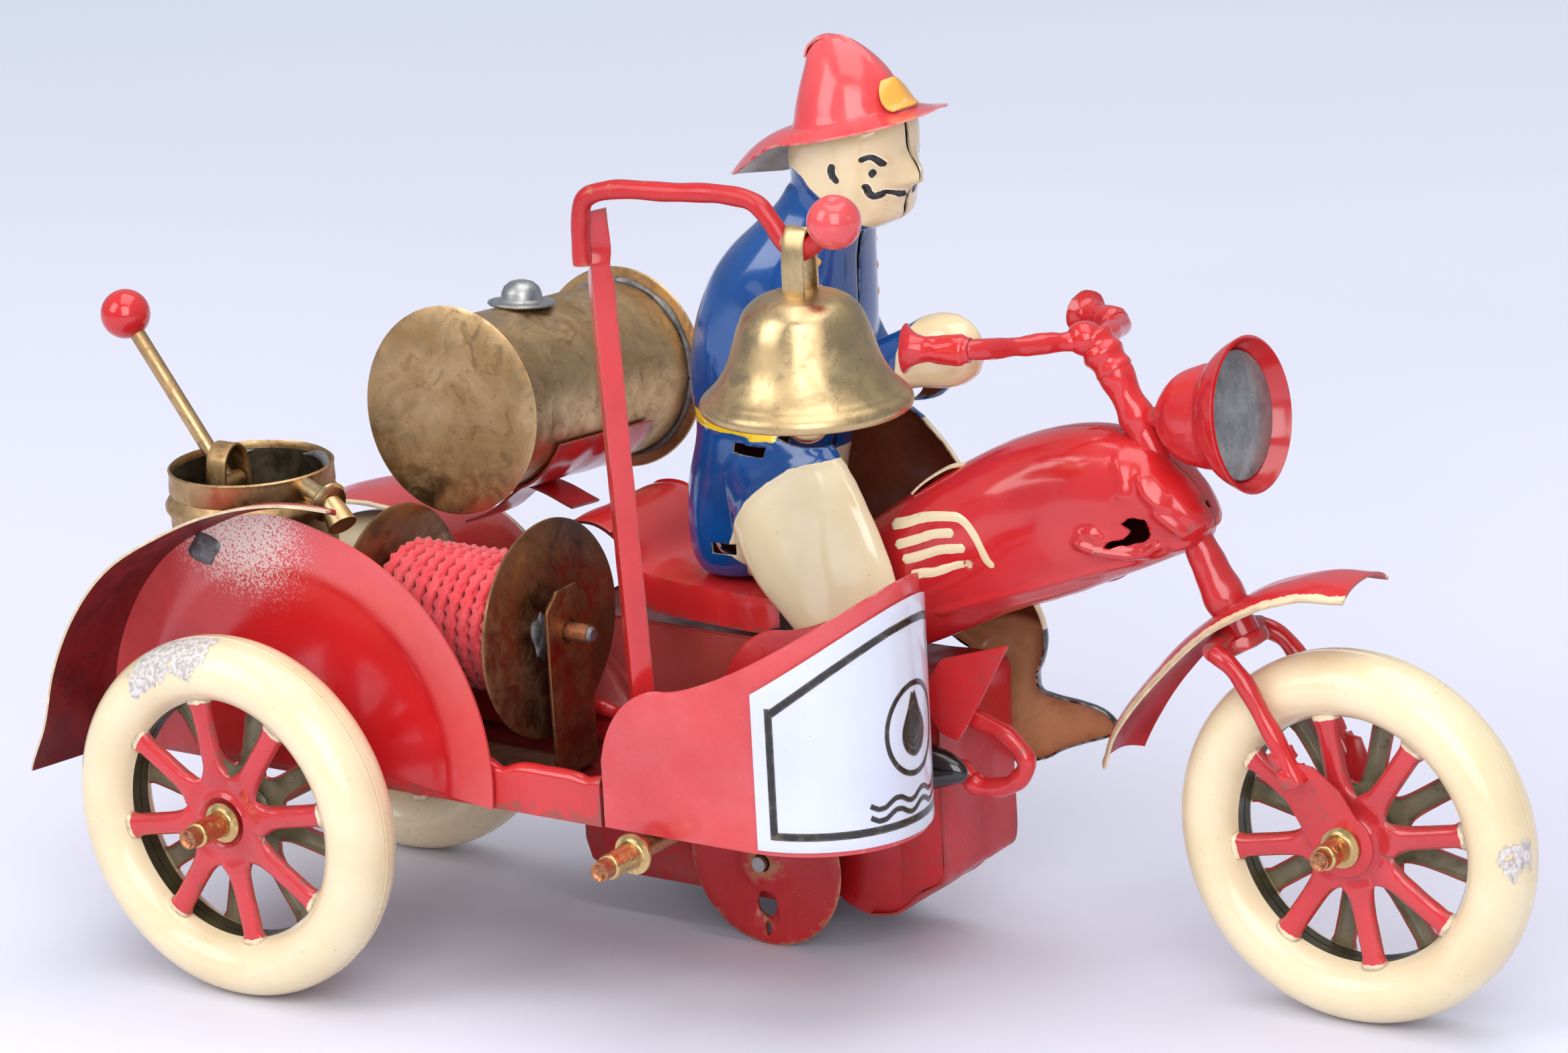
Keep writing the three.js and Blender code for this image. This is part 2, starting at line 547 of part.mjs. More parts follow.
// A limb's stations: [x, z, half width, rim, bulge], with the width square to its run.
function limbStations(rows) {
  return rows.map(([x, z, half, rim, bulge], i) => {
    const before = rows[Math.max(i - 1, 0)];
    const after = rows[Math.min(i + 1, rows.length - 1)];
    return { at: [x, z], across: unit(-(after[1] - before[1]), after[0] - before[0]), half, rim, bulge };
  });
}

// The legs reach forward to their own toe; the rest of each leg moves with it.
const legRows = (toe) => limbStations([
  [95, 98, 11.5, 11, 15.5], [103, 90.8, 14.6, 13, 18.4], [109.4, 82.6, 15.4, 15.6, 20.4],
  [115.4, 73.6, 13.6, 15.6, 20.6], [(toe + 98) / 2, 64, 10.4, 15.6, 20.6],
  [toe - 23, 54.6, 8.2, 15.6, 20.6], [toe - 19.4, 46.4, 7.6, 15.6, 20.6], [toe - 14, 41.6, 7, 15.8, 20.6],
  [toe - 6, 42.4, 4.2, 16, 20.6], [toe - 1, 43.4, 2, 16.4, 19],
]);
const rightArm = limbStations([
  [100, 122, 9, 11, 14.6], [107, 112.4, 8, 9, 15.2], [116, 110.6, 6, 8.2, 14.8], [125, 115, 6, 7.8, 14.6],
  [133, 119.4, 6.6, 7.6, 14.8], [140, 121.4, 6.2, 7.6, 14.8], [145.6, 122.4, 3, 8.4, 13],
]);
const leftArm = limbStations([
  [99, 122, 9, 11, 14.6], [103.6, 113.6, 8, 9, 15.2], [109, 108.8, 6.4, 8.2, 14.8],
  [114.6, 108.6, 5.4, 7.8, 14.6], [119.6, 109.4, 5.6, 7.6, 14.8], [123.6, 110, 5, 7.6, 14.6],
  [126.4, 110.4, 2.6, 8.4, 13],
]);

function riderShell(side, toe, arm) {
  const limbs = [legRows(toe), arm];
  const whole = join(halfForm(bodyStations, side, 0, 7),
    ...limbs.map((rows) => halfForm(rows, side, 0, 6)));
  const trunkHollow = halfForm(lengthen(bodyStations, 2), side, SHEET, 7);
  const limbHollows = limbs.map((rows) => halfForm(rows.slice(0, -1), side, SHEET, 6));
  return cut(whole, trunkHollow, ...limbHollows);
}
part('rider_shell_right', 'blue', riderShell(-1, 143, rightArm));
part('rider_shell_left', 'blue', riderShell(1, 155, leftArm));

const crownRing = (x, z, long, wide, rise) => Array.from({ length: 14 }, (_, i) => {
  const angle = (2 * Math.PI * i) / 14;
  return [x + long * Math.cos(angle), wide * Math.sin(angle), z + rise * Math.cos(angle)];
});
const crownOuter = [crownRing(112.2, 159.8, 11.4, 11.4, 2.8), crownRing(110.6, 166, 7.6, 7.8, 2),
  crownRing(108.6, 174.2, 2.6, 2, 0.6)];
const crownInner = [crownRing(112.4, 158, 10.5, 10.5, 2.8), crownRing(110.6, 165.4, 6.6, 6.8, 2),
  crownRing(108.8, 172.6, 1.8, 1.2, 0.6)];
const brim = loft(Array.from({ length: 14 }, (_, i) => {
  const angle = (2 * Math.PI * i) / 14;
  const [c, s] = [Math.cos(angle), Math.sin(angle)];
  const x = 109.9 + 22.2 * c;
  const z = 157.6 + 0.375 * (x - 110) - 0.0073 * (x - 110) ** 2 - 1.4 * s * s;
  const [innerX, innerY, innerZ] = [112.2 + 11 * c, 11 * s, 159.9 + 2.7 * c];
  return [[innerX, innerY, innerZ + SHEET / 2], [x, 15.4 * s, z + SHEET / 2],
    [x, 15.4 * s, z - SHEET / 2], [innerX, innerY, innerZ - SHEET / 2]];
}), { closed: true });
part('helmet', 'red', cut(join(loft(crownOuter), brim), loft(crownInner)));
part('helmet_badge', 'badge', strip([[123.6, 164.2], [125.8, 164], [124.6, 169], [122.2, 170.4]],
  -4.6, 4.6, 0.7));

// ---------------------------------------------------------------- guard plate and crash bar
part('guard_plate', 'red', plateXZ([[132.8, 55.2], [137.6, 63], [152.5, 67.7], [143.4, 51.6], [140.6, 47.6],
  [136.8, 48.6]], -16.8, -16));
const crashBarPath = [[136.8, -13, 52.6], [143, -13.2, 51], [150, -13.6, 48.6], [153.6, -13.8, 44.4],
  [151, -13.8, 40.2], [145, -13.6, 38.2], [141.6, -13.4, 38.8], [139.6, -13.2, 40.6], [136.8, -13, 41]];
part('crash_bar', 'red', wire(crashBarPath, 1.8, 16, 7));

// ---------------------------------------------------------------- sidecar
// The plan of the sidecar's nose: straight flanks and a half-ellipse front, offset outwards.
function nosePlan(start, offset, bends = 12) {
  const flankEnd = 124;
  const half = (TRAY_LEFT - TRAY_RIGHT) / 2 + offset;
  const reach = NOSE_FRONT - flankEnd + offset;
  const front = Array.from({ length: bends + 1 }, (_, i) => {
    const angle = -Math.PI / 2 + (Math.PI * i) / bends;
    return [flankEnd + reach * Math.cos(angle), TRAY_MIDDLE + half * Math.sin(angle)];
  });
  const flankX = [start, 98, 103, 107, 115].filter((x) => x >= start);
  const right = flankX.map((x) => [x, TRAY_MIDDLE - half]);
  const left = [...flankX].reverse().map((x) => [x, TRAY_MIDDLE + half]);
  return [...right, ...front, ...left];
}

// The height of the nose sheet's top edge: a rounded shoulder, then a rise to the front.
function noseTop(x) {
  if (x < 107) return 47 + 19 * Math.sqrt(Math.max(0, 1 - ((107 - x) / 15) ** 2));
  return 66 + 21 * ((x - 107) / (NOSE_FRONT - 107)) ** 1.35;
}

// An upright sheet that follows a plan line between two heights.
function wall(plan, thick, low, top) {
  const rings = plan.map(([x, y], i) => {
    const before = plan[Math.max(i - 1, 0)];
    const after = plan[Math.min(i + 1, plan.length - 1)];
    const [nx, ny] = unit(after[1] - before[1], -(after[0] - before[0]));
    const [ix, iy] = [x - nx * thick, y - ny * thick];
    return [[x, y, low], [x, y, top(x)], [ix, iy, top(x)], [ix, iy, low]];
  });
  return loft(rings);
}

part('sidecar_nose', 'red', wall(nosePlan(NOSE_START, 0), SHEET, TRAY_Z, noseTop));

// The floor runs on between the nose's flanks, clear of them all round.
const TRAY_FRONT = NOSE_START - GAP;
const INSET = SHEET + GAP;
const floorPlan = [
  [TRAY_REAR, TRAY_RIGHT], [TRAY_FRONT, TRAY_RIGHT], [TRAY_FRONT, TRAY_RIGHT + INSET],
  ...nosePlan(115, -INSET),
  [TRAY_FRONT, TRAY_LEFT - INSET], [TRAY_FRONT, TRAY_LEFT], [TRAY_REAR, TRAY_LEFT],
];
const WALL_TOP = 47;
const FLOOR_TOP = TRAY_Z + SHEET;
part('sidecar_tray', 'red', join(
  plateXY(floorPlan, TRAY_Z, FLOOR_TOP),
  box([TRAY_REAR, TRAY_RIGHT, TRAY_Z], [TRAY_FRONT, TRAY_RIGHT + SHEET, WALL_TOP]),
  box([TRAY_REAR, TRAY_LEFT - SHEET, TRAY_Z], [TRAY_FRONT, TRAY_LEFT, WALL_TOP]),
  box([TRAY_REAR, TRAY_RIGHT, TRAY_Z], [TRAY_REAR + SHEET, TRAY_LEFT, WALL_TOP]),
));

const signPlan = nosePlan(115, GAP + 0.5, 16).filter(([x]) => x >= 126);
part('sign_plate', 'white', wall(signPlan, 0.5, TRAY_Z + 0.6, (x) => noseTop(x) - 5.5 + (x - 128) * 0.06));

const PANEL_X = 23;
const PANEL_Z = 43.4;
const PANEL_R = 45;
const PANEL_Y = TRAY_RIGHT - GAP;
part('wheel_panel', 'red', plateXZ(arc(PANEL_X, PANEL_Z, PANEL_R, -7, 187, 24), PANEL_Y - SHEET, PANEL_Y));

// The sidecar's fender: its inner edge follows the panel and its outer edge flares at the rear.
const fenderRows = [
  [187, 46.2, 52.7, 17.6], [176, 46.2, 48, 17.8], [162, 46.2, 46.8, 17.8], [146, 46.2, 46.6, 17.8],
  [130, 46.2, 46.8, 17.6], [114, 46.4, 47.2, 16.6], [100, 47.4, 49, 12.6], [87, 48.6, 50.4, 8],
  [75, 50.2, 51.2, 3.6],
];
part('sidecar_fender', 'red', loft(fenderRows.map(([degrees, innerR, outerR, width]) => {
  const angle = THREE.MathUtils.degToRad(degrees);
  const at = (radius, y) => [PANEL_X + radius * Math.cos(angle), y, PANEL_Z + radius * Math.sin(angle)];
  const inner = PANEL_Y - GAP;
  return [at(innerR, inner), at(outerR, inner - width), at(outerR + SHEET, inner - width),
    at(innerR + SHEET, inner)];
})));

const CROSSBAR_X = 101.5;
const CROSSBAR_Z = 35.8;
part('crossbar', 'copper', join(
  rodY(CROSSBAR_X, CROSSBAR_Z, -77, -14.6, AXLE_R, 12),
  cap(CROSSBAR_X, CROSSBAR_Z, -66, -1, 8.4),
));

// ---------------------------------------------------------------- bell, its post and its arm
const postRing = (x, z) => [[x - 3, BELL_Y + 2.4, z], [x, BELL_Y - 0.4, z], [x + 3, BELL_Y + 2.4, z],
  [x + 3, BELL_Y + 3.4, z], [x, BELL_Y + 0.6, z], [x - 3, BELL_Y + 3.4, z]];
const POST_FOOT_X = 99;
const POST_TOP = 153;
const post = loft([postRing(POST_FOOT_X, FLOOR_TOP + GAP), postRing(94, POST_TOP)], { paired: true });
const postFoot = box([POST_FOOT_X - 5, BELL_Y + 0.5, FLOOR_TOP + GAP],
  [POST_FOOT_X + 5, BELL_Y + 9, FLOOR_TOP + GAP + SHEET]);
part('bell_post', 'red', join(post, postFoot));

part('bell_arm', 'red', join(
  wire([[94.2, BELL_Y - 2.4, 146], [94.4, BELL_Y - 2.4, 153.4], [98.4, BELL_Y - 1.8, 157.6],
    [112, BELL_Y, 158.3], [125, BELL_Y, 159], [132.4, BELL_Y, 156.8], [136, BELL_Y, 151.6],
    [139, BELL_Y, 150], [142, BELL_Y, 151.8], [145.4, BELL_Y, 155]], WIRE_R, 18),
  ball([146.6, BELL_Y, 156], 4.8),
));

const bellOuter = [[0, 142.8], [6, 142.6], [9.6, 140.8], [12, 137], [13.6, 131.6], [15.6, 127.2],
  [18.4, 124.4], [18.8, 122]];
const bellInner = [[0, 141.6], [5.6, 141.4], [8.6, 139.8], [10.8, 136.4], [12.4, 131.2], [14.4, 126.6],
  [17.4, 123.6], [17.8, 122]];
const bellCup = turnedShell(bellOuter, bellInner, [BELL_X, BELL_Y, 0], [0, 0, 1], 18);
const hanger = cut(
  join(box([BELL_X - 0.7, BELL_Y - 4, 142], [BELL_X + 0.7, BELL_Y + 4, 151]),
    rod([BELL_X - 0.7, BELL_Y, 151], [BELL_X + 0.7, BELL_Y, 151], 4, 16)),
  rod([BELL_X - 2, BELL_Y, BELL_HANG_Z], [BELL_X + 2, BELL_Y, BELL_HANG_Z], 2.7, 16),
);
part('bell_cup', 'brass', join(bellCup, hanger));
part('clapper', 'brass', join(
  rod([BELL_X, BELL_Y, 120], [BELL_X, BELL_Y, 140.4], 0.8, 8),
  ball([BELL_X, BELL_Y, 119.6], 4),
));

// ---------------------------------------------------------------- hose reel
const FLANGE_FRONT = 67.6;
const FLANGE_REAR = 32.6;
const REEL_BORE = AXLE_R + GAP;
const flange = (x, radius) => turned([[REEL_BORE, -0.6], [radius, -0.6], [radius, 0.6], [REEL_BORE, 0.6],
  [REEL_BORE, -0.6]], [x, REEL_Y, REEL_Z], [1, 0, 0], 20);
part('reel_flange_front', 'bronze', flange(FLANGE_FRONT, 20.8));
part('reel_flange_rear', 'bronze', flange(FLANGE_REAR, 19.5));
part('reel_axle', 'steel', rod([23.6, REEL_Y, REEL_Z], [78, REEL_Y, REEL_Z], AXLE_R, 10));
const ropeLow = FLANGE_REAR + 0.6 + GAP;
const ropeHigh = FLANGE_FRONT - 0.6 - GAP;
const ropeProfile = [[REEL_BORE, ropeLow], [11.4, ropeLow], [12.8, ropeLow + 2.5],
  [12.8, ropeHigh - 2.5], [11.4, ropeHigh], [REEL_BORE, ropeHigh], [REEL_BORE, ropeLow]];
part('hose_rope', 'rope', turned(ropeProfile, [0, REEL_Y, REEL_Z], [1, 0, 0], 16));

const BRACKET_LOW = FLOOR_TOP + GAP + SHEET / 2;
const BRACKET_FRONT = 72;
const BRACKET_REAR = 28;
const bracket = strip([[BRACKET_REAR, 76], [BRACKET_REAR, BRACKET_LOW], [BRACKET_FRONT, BRACKET_LOW],
  [BRACKET_FRONT, 76.5]], REEL_Y - 6.5, REEL_Y + 6.5);
part('reel_bracket', 'bronze', cut(bracket,
  rod([BRACKET_REAR - 4, REEL_Y, REEL_Z], [BRACKET_FRONT + 4, REEL_Y, REEL_Z], AXLE_HOLE_R + 0.1, 16)));

// ---------------------------------------------------------------- pump can
const CAN_FOOT = FLOOR_TOP + GAP;
const canOuter = [[0, CAN_FOOT], [CAN_R, CAN_FOOT], [CAN_R, 83.6], [CAN_R + 0.9, 84.6], [CAN_R + 0.9, 86.2],
  [CAN_R, 87.4], [CAN_R, CAN_TOP]];
const canInner = [[0, CAN_FOOT + SHEET], [CAN_R - SHEET, CAN_FOOT + SHEET], [CAN_R - SHEET, 84],
  [CAN_R, 85], [CAN_R, 86], [CAN_R - SHEET, 87], [CAN_R - SHEET, CAN_TOP]];
const canWall = turnedShell(canOuter, canInner, [CAN_X, CAN_Y, 0], [0, 0, 1], 18);
const spout = join(
  rod([CAN_X + CAN_R - 0.5, -48, 90.6], [24.4, -50, 88.6], 1.9, 10),
  rod([23.6, -50, 88.9], [24.8, -50.3, 88.4], 4, 14),
  rod([24.4, -50.2, 88.6], [28.2, -51.6, 85], 2.7, 10),
);
part('can', 'agedBrass', join(canWall, spout));

const STRAP_X = -4;
const STRAP_TOP = 95.8;
const strapFoot = CAN_FOOT + SHEET + GAP;
part('can_strap', 'agedBrass', join(
  box([STRAP_X - 2.5, CAN_Y - 4, strapFoot], [STRAP_X + 2.5, CAN_Y - 4 + SHEET, STRAP_TOP]),
  box([STRAP_X - 2.5, CAN_Y + 4 - SHEET, strapFoot], [STRAP_X + 2.5, CAN_Y + 4, STRAP_TOP]),
  box([STRAP_X, CAN_Y - 4, STRAP_TOP - SHEET], [STRAP_X + 2.5, CAN_Y + 4, STRAP_TOP]),
));
const LEVER_PIVOT_Z = 88;
part('pump_lever', 'red', join(
  rod([STRAP_X, CAN_Y - 2.9, LEVER_PIVOT_Z], [STRAP_X, CAN_Y + 2.9, LEVER_PIVOT_Z], 1.9, 12),
  rod([STRAP_X, CAN_Y, LEVER_PIVOT_Z], [-24.4, CAN_Y, 116.2], 1.5, 10),
  ball([-26.4, CAN_Y, 119], 4.8),
));

// ---------------------------------------------------------------- origin at the bottom centre
const bounds = new THREE.Box3().setFromObject(model, true);
const centre = bounds.getCenter(new THREE.Vector3());
model.position.set(-centre.x, -centre.y, -bounds.min.z);
model.updateMatrixWorld(true);

export default model;
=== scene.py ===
"""A tin wind-up fire-brigade motorcycle with a sidecar: its visual model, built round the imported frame.

Everything is worked out in millimetres from the foot of the rear wheel: +X forward, +Y to the
rider's left, +Z up. place() turns that into the frame's metres.
"""
import math

import bmesh
import bpy
import numpy as np
from mathutils import Matrix, Vector, noise
from mathutils.bvhtree import BVHTree


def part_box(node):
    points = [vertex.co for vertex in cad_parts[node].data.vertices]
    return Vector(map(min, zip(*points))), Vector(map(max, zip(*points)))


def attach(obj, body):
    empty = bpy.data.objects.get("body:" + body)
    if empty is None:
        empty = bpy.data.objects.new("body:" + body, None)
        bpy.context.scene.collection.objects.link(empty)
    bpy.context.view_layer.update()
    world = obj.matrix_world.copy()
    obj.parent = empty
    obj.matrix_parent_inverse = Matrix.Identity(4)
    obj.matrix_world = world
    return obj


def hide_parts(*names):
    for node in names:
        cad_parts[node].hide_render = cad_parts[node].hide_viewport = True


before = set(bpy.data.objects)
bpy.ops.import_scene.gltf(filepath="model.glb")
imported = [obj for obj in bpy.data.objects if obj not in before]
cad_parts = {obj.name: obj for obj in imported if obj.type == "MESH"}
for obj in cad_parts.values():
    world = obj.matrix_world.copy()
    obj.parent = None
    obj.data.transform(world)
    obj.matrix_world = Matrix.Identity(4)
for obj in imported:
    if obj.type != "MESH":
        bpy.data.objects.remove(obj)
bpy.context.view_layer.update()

MM = 0.001
REAR_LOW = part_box("rear_wheel_right")[0]
REAR_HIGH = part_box("rear_wheel_left")[1]
FOOT = Vector(((REAR_LOW.x + REAR_HIGH.x) / 2, (REAR_LOW.y + REAR_HIGH.y) / 2, 0))


def middle_of(*nodes):
    """The centre of some CAD nodes together, in the script's millimetres."""
    boxes = [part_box(n) for n in nodes]
    low = [min(b[0][i] for b in boxes) for i in range(3)]
    high = [max(b[1][i] for b in boxes) for i in range(3)]
    return [((low[i] + high[i]) / 2 - FOOT[i]) / MM for i in range(3)]


def place(point):
    return (point[0] * MM + FOOT.x, point[1] * MM + FOOT.y, point[2] * MM)


# ---------------------------------------------------------------- driving dimensions
WHEEL_R = (REAR_HIGH.z - REAR_LOW.z) / 2 / MM
WHEELS = {name: middle_of(f"{name}_right", f"{name}_left")
          for name in ("rear_wheel", "front_wheel", "sidecar_wheel")}
FRONT_X = WHEELS["front_wheel"][0]
SIDECAR_WHEEL = WHEELS["sidecar_wheel"]
DRIVE_X, _, DRIVE_Z = middle_of("drive_disc_right", "drive_disc_left")
TANK_X, _, TANK_Z = middle_of("tank_end_right", "tank_end_left")
TANK_TILT = math.radians(-5.7)
BELL_X, BELL_Y, _ = middle_of("bell_cup")
_, REEL_Y, REEL_Z = middle_of("reel_flange_front")
CAN_X, CAN_Y, CAN_R = 1.6, -45.0, 15.8
TRAY_Z = 38.0
TRAY_RIGHT, TRAY_LEFT = -62.0, -22.0
TRAY_MIDDLE = (TRAY_RIGHT + TRAY_LEFT) / 2
NOSE_FRONT = 147.0
SHEET = 0.5
GAP = 0.3


# ---------------------------------------------------------------- curves
def spline(points, count):
    """`count` rows along a smooth curve through `points`; a row may hold more than a place."""
    p = np.asarray(points, float)
    gaps = np.sqrt(np.linalg.norm(np.diff(p, axis=0), axis=1))
    t = np.concatenate([[0], np.cumsum(np.maximum(gaps, 1e-6))])
    slope = np.gradient(p, t, axis=0)
    u = np.linspace(0, t[-1], count)
    i = np.clip(np.searchsorted(t, u, side="right") - 1, 0, len(t) - 2)
    h = (t[i + 1] - t[i])[:, None]
    s = ((u - t[i]) / h[:, 0])[:, None]
    return ((2 * s**3 - 3 * s**2 + 1) * p[i] + (s**3 - 2 * s**2 + s) * h * slope[i]
            + (3 * s**2 - 2 * s**3) * p[i + 1] + (s**3 - s**2) * h * slope[i + 1])


def arc(x, z, radius, start, end, count):
    """Points on a circle, with angles in degrees from the first axis towards the second."""
    angles = np.radians(np.linspace(start, end, count))
    return [(x + radius * math.cos(a), z + radius * math.sin(a)) for a in angles]


def smooth(low, high, value):
    t = min(1.0, max(0.0, (value - low) / (high - low)))
    return t * t * (3 - 2 * t)


def distance_to(path, x, z):
    """How far a point is from a path of (x, z) points."""
    best = 1e9
    for (ax, az), (bx, bz) in zip(path, path[1:]):
        dx, dz = bx - ax, bz - az
        t = max(0.0, min(1.0, ((x - ax) * dx + (z - az) * dz) / max(dx * dx + dz * dz, 1e-9)))
        best = min(best, math.hypot(x - ax - t * dx, z - az - t * dz))
    return best


def inside(outline, x, z):
    hit = False
    for (ax, az), (bx, bz) in zip(outline, [*outline[1:], outline[0]]):
        if (az > z) != (bz > z) and x < ax + (z - az) / (bz - az) * (bx - ax):
            hit = not hit
    return hit


def signed(outline, x, z):
    """Millimetres inside an outline: positive within it and negative outside."""
    far = distance_to([*outline, outline[0]], x, z)
    return far if inside(outline, x, z) else -far


# ---------------------------------------------------------------- forms
class Form:
    """A mesh under construction, in millimetres."""

    def __init__(self):
        self.points, self.faces, self.zones = [], [], []

    def add(self, points, faces, zone=0):
        start = len(self.points)
        self.points += [tuple(float(c) for c in p) for p in points]
        self.faces += [tuple(start + i for i in f) for f in faces]
        self.zones += [zone] * len(faces)
        return self

    def grid(self, rows, zone=0, wrap=False, loop=False):
        """A skin over rows of equally many points. wrap joins each row's ends, loop the last row
        to the first."""
        wide, high = len(rows[0]), len(rows)
        faces = []
        for i in range(high if loop else high - 1):
            for j in range(wide if wrap else wide - 1):
                k, n = (j + 1) % wide, (i + 1) % high
                faces.append((i * wide + j, i * wide + k, n * wide + k, n * wide + j))
        return self.add([p for row in rows for p in row], faces, zone)

    def loft(self, rings, zone=0, loop=False):
        """A closed skin through rings, with a face over each end."""
        self.grid(rings, zone, wrap=True, loop=loop)
        if not loop:
            self.add(rings[0], [tuple(range(len(rings[0])))], zone)
            self.add(rings[-1], [tuple(reversed(range(len(rings[-1]))))], zone)
        return self

    def turned(self, profile, base, axis, steps=72, zone=0, closed=True):
        """A profile of (radius, height) points turned round an axis."""
        turn = Vector((0, 0, 1)).rotation_difference(Vector(axis).normalized())
        rows = []
        for i in range(steps):
            a = 2 * math.pi * i / steps
            rows.append([Vector(base) + turn @ Vector((r * math.cos(a), r * math.sin(a), h))
                         for r, h in profile])
        return self.grid(rows, zone, wrap=closed, loop=True)

    def tube(self, path, radius, sides=18, zone=0, squeeze=None):
        """A round bar along a path; radius is a number or a function of the share along it."""
        points = [Vector(p) for p in path]
        last = len(points) - 1
        side = None
        rings = []
        for i, point in enumerate(points):
            along = (points[min(i + 1, last)] - points[max(i - 1, 0)]).normalized()
            if side is None:
                side = along.orthogonal().normalized()
            side = (side - along * side.dot(along)).normalized()
            up = along.cross(side)
            r = radius(i / last) if callable(radius) else radius
            flat = squeeze(i / last) if squeeze else 1
            rings.append([point + side * r * math.cos(a) + up * r * flat * math.sin(a)
                          for a in np.linspace(0, 2 * math.pi, sides, endpoint=False)])
        return self.loft(rings, zone)

    def ball(self, centre, radius, steps=40, zone=0, dent=0.0):
        profile = []
        for a in np.linspace(-math.pi / 2, math.pi / 2, 24):
            r, h = radius * math.cos(a), radius * math.sin(a)
            pull = dent * math.exp(-(r / 1.3) ** 2) if a > 0 else 0
            profile.append((max(r, 0), h - pull))
        return self.turned(profile, centre, (0.15, -0.25, 1), steps, zone, closed=False)

    def slab(self, outline, low, high, axis="y", zone=0):
        """A flat plate with an outline in the other two axes."""
        order = {"y": lambda u, v, w: (u, w, v), "z": lambda u, v, w: (u, v, w),
                 "x": lambda u, v, w: (w, u, v)}[axis]
        rings = [[order(u, v, w) for u, v in outline] for w in (low, high)]
        return self.loft(rings, zone)


def displaced(obj, shift):
    """Moves each vertex by what shift(x, y, z) gives, in millimetres."""
    for v in obj.data.vertices:
        x, y, z = ((v.co.x - FOOT.x) / MM, (v.co.y - FOOT.y) / MM, v.co.z / MM)
        v.co = v.co + Vector(shift(x, y, z)) * MM
    obj.data.update()
    return obj


def applied(obj):
    """Turns an object's modifiers into its mesh."""
    bpy.context.view_layer.update()
    shape = obj.evaluated_get(bpy.context.evaluated_depsgraph_get())
    made = bpy.data.meshes.new_from_object(shape)
    old = obj.data
    obj.modifiers.clear()
    obj.data = made
    bpy.data.meshes.remove(old)
    made.name = obj.name
    return obj


def mark(obj, name, value):
    """Writes value(x, y, z) in millimetres into a vertex attribute that a material reads."""
    attribute = obj.data.attributes.new(name, "FLOAT", "POINT")
    numbers = [float(value((v.co.x - FOOT.x) / MM, (v.co.y - FOOT.y) / MM, v.co.z / MM))
               for v in obj.data.vertices]
    attribute.data.foreach_set("value", numbers)
    return obj


def build(name, form, materials, inner=None, thick=0.0, bevel=0.0, sharp=40, centred=False):
    """Makes an object from a form. `inner` is a point on the inner side of an open sheet, which
    then gets a thickness, with the second material on its inner side."""
    mesh = bpy.data.meshes.new(name)
    mesh.from_pydata([place(p) for p in form.points], [], form.faces)
    for polygon, zone in zip(mesh.polygons, form.zones):
        polygon.material_index = zone
    obj = bpy.data.objects.new(name, mesh)
    bpy.context.scene.collection.objects.link(obj)
    for material in materials if isinstance(materials, (list, tuple)) else [materials]:
        mesh.materials.append(material)
    bm = bmesh.new()
    bm.from_mesh(mesh)
    bmesh.ops.remove_doubles(bm, verts=bm.verts, dist=2e-6)
    bmesh.ops.dissolve_degenerate(bm, edges=bm.edges, dist=1e-7)
    bmesh.ops.recalc_face_normals(bm, faces=bm.faces)
    if inner is not None:
        inner = Vector(place(inner))
        facing = sum(f.calc_area() * f.normal.dot(f.calc_center_median() - inner) for f in bm.faces)
        if facing < 0:
            bmesh.ops.reverse_faces(bm, faces=bm.faces)
    bm.to_mesh(mesh)
    bm.free()
    if thick:
        solid = obj.modifiers.new("sheet", "SOLIDIFY")
        solid.thickness = thick * MM
        solid.offset = 0 if centred else -1
        solid.material_offset = 1 if len(mesh.materials) > 1 else 0
    if bevel:
        edge = obj.modifiers.new("edge", "BEVEL")
        edge.width = bevel * MM
        edge.segments = 2
        edge.angle_limit = math.radians(sharp)
        edge.limit_method = "ANGLE"
    applied(obj)
    for polygon in obj.data.polygons:
        polygon.use_smooth = True
    obj.data.set_sharp_from_angle(angle=math.radians(sharp))
    return obj


def on(obj, body, slot, *nodes):
    """Fixes a finished piece to a body and hides the CAD nodes it stands for; slot is not used."""
    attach(obj, body)
    if nodes:
        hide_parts(*nodes)
    return obj


def cut_by(obj, form):
    """Takes a closed form out of an object."""
    tool = build("cutter", form, [])
    hole = obj.modifiers.new("hole", "BOOLEAN")
    hole.operation = "DIFFERENCE"
    hole.object = tool
    hole.solver = "EXACT"
    applied(obj)
    bpy.data.objects.remove(tool)
    return obj


def through(outline, side, near, far):
    """A closed cutter across one side of the mid-plane, from `near` to `far` out from it."""
    return Form().slab(outline, min(side * near, side * far), max(side * near, side * far))


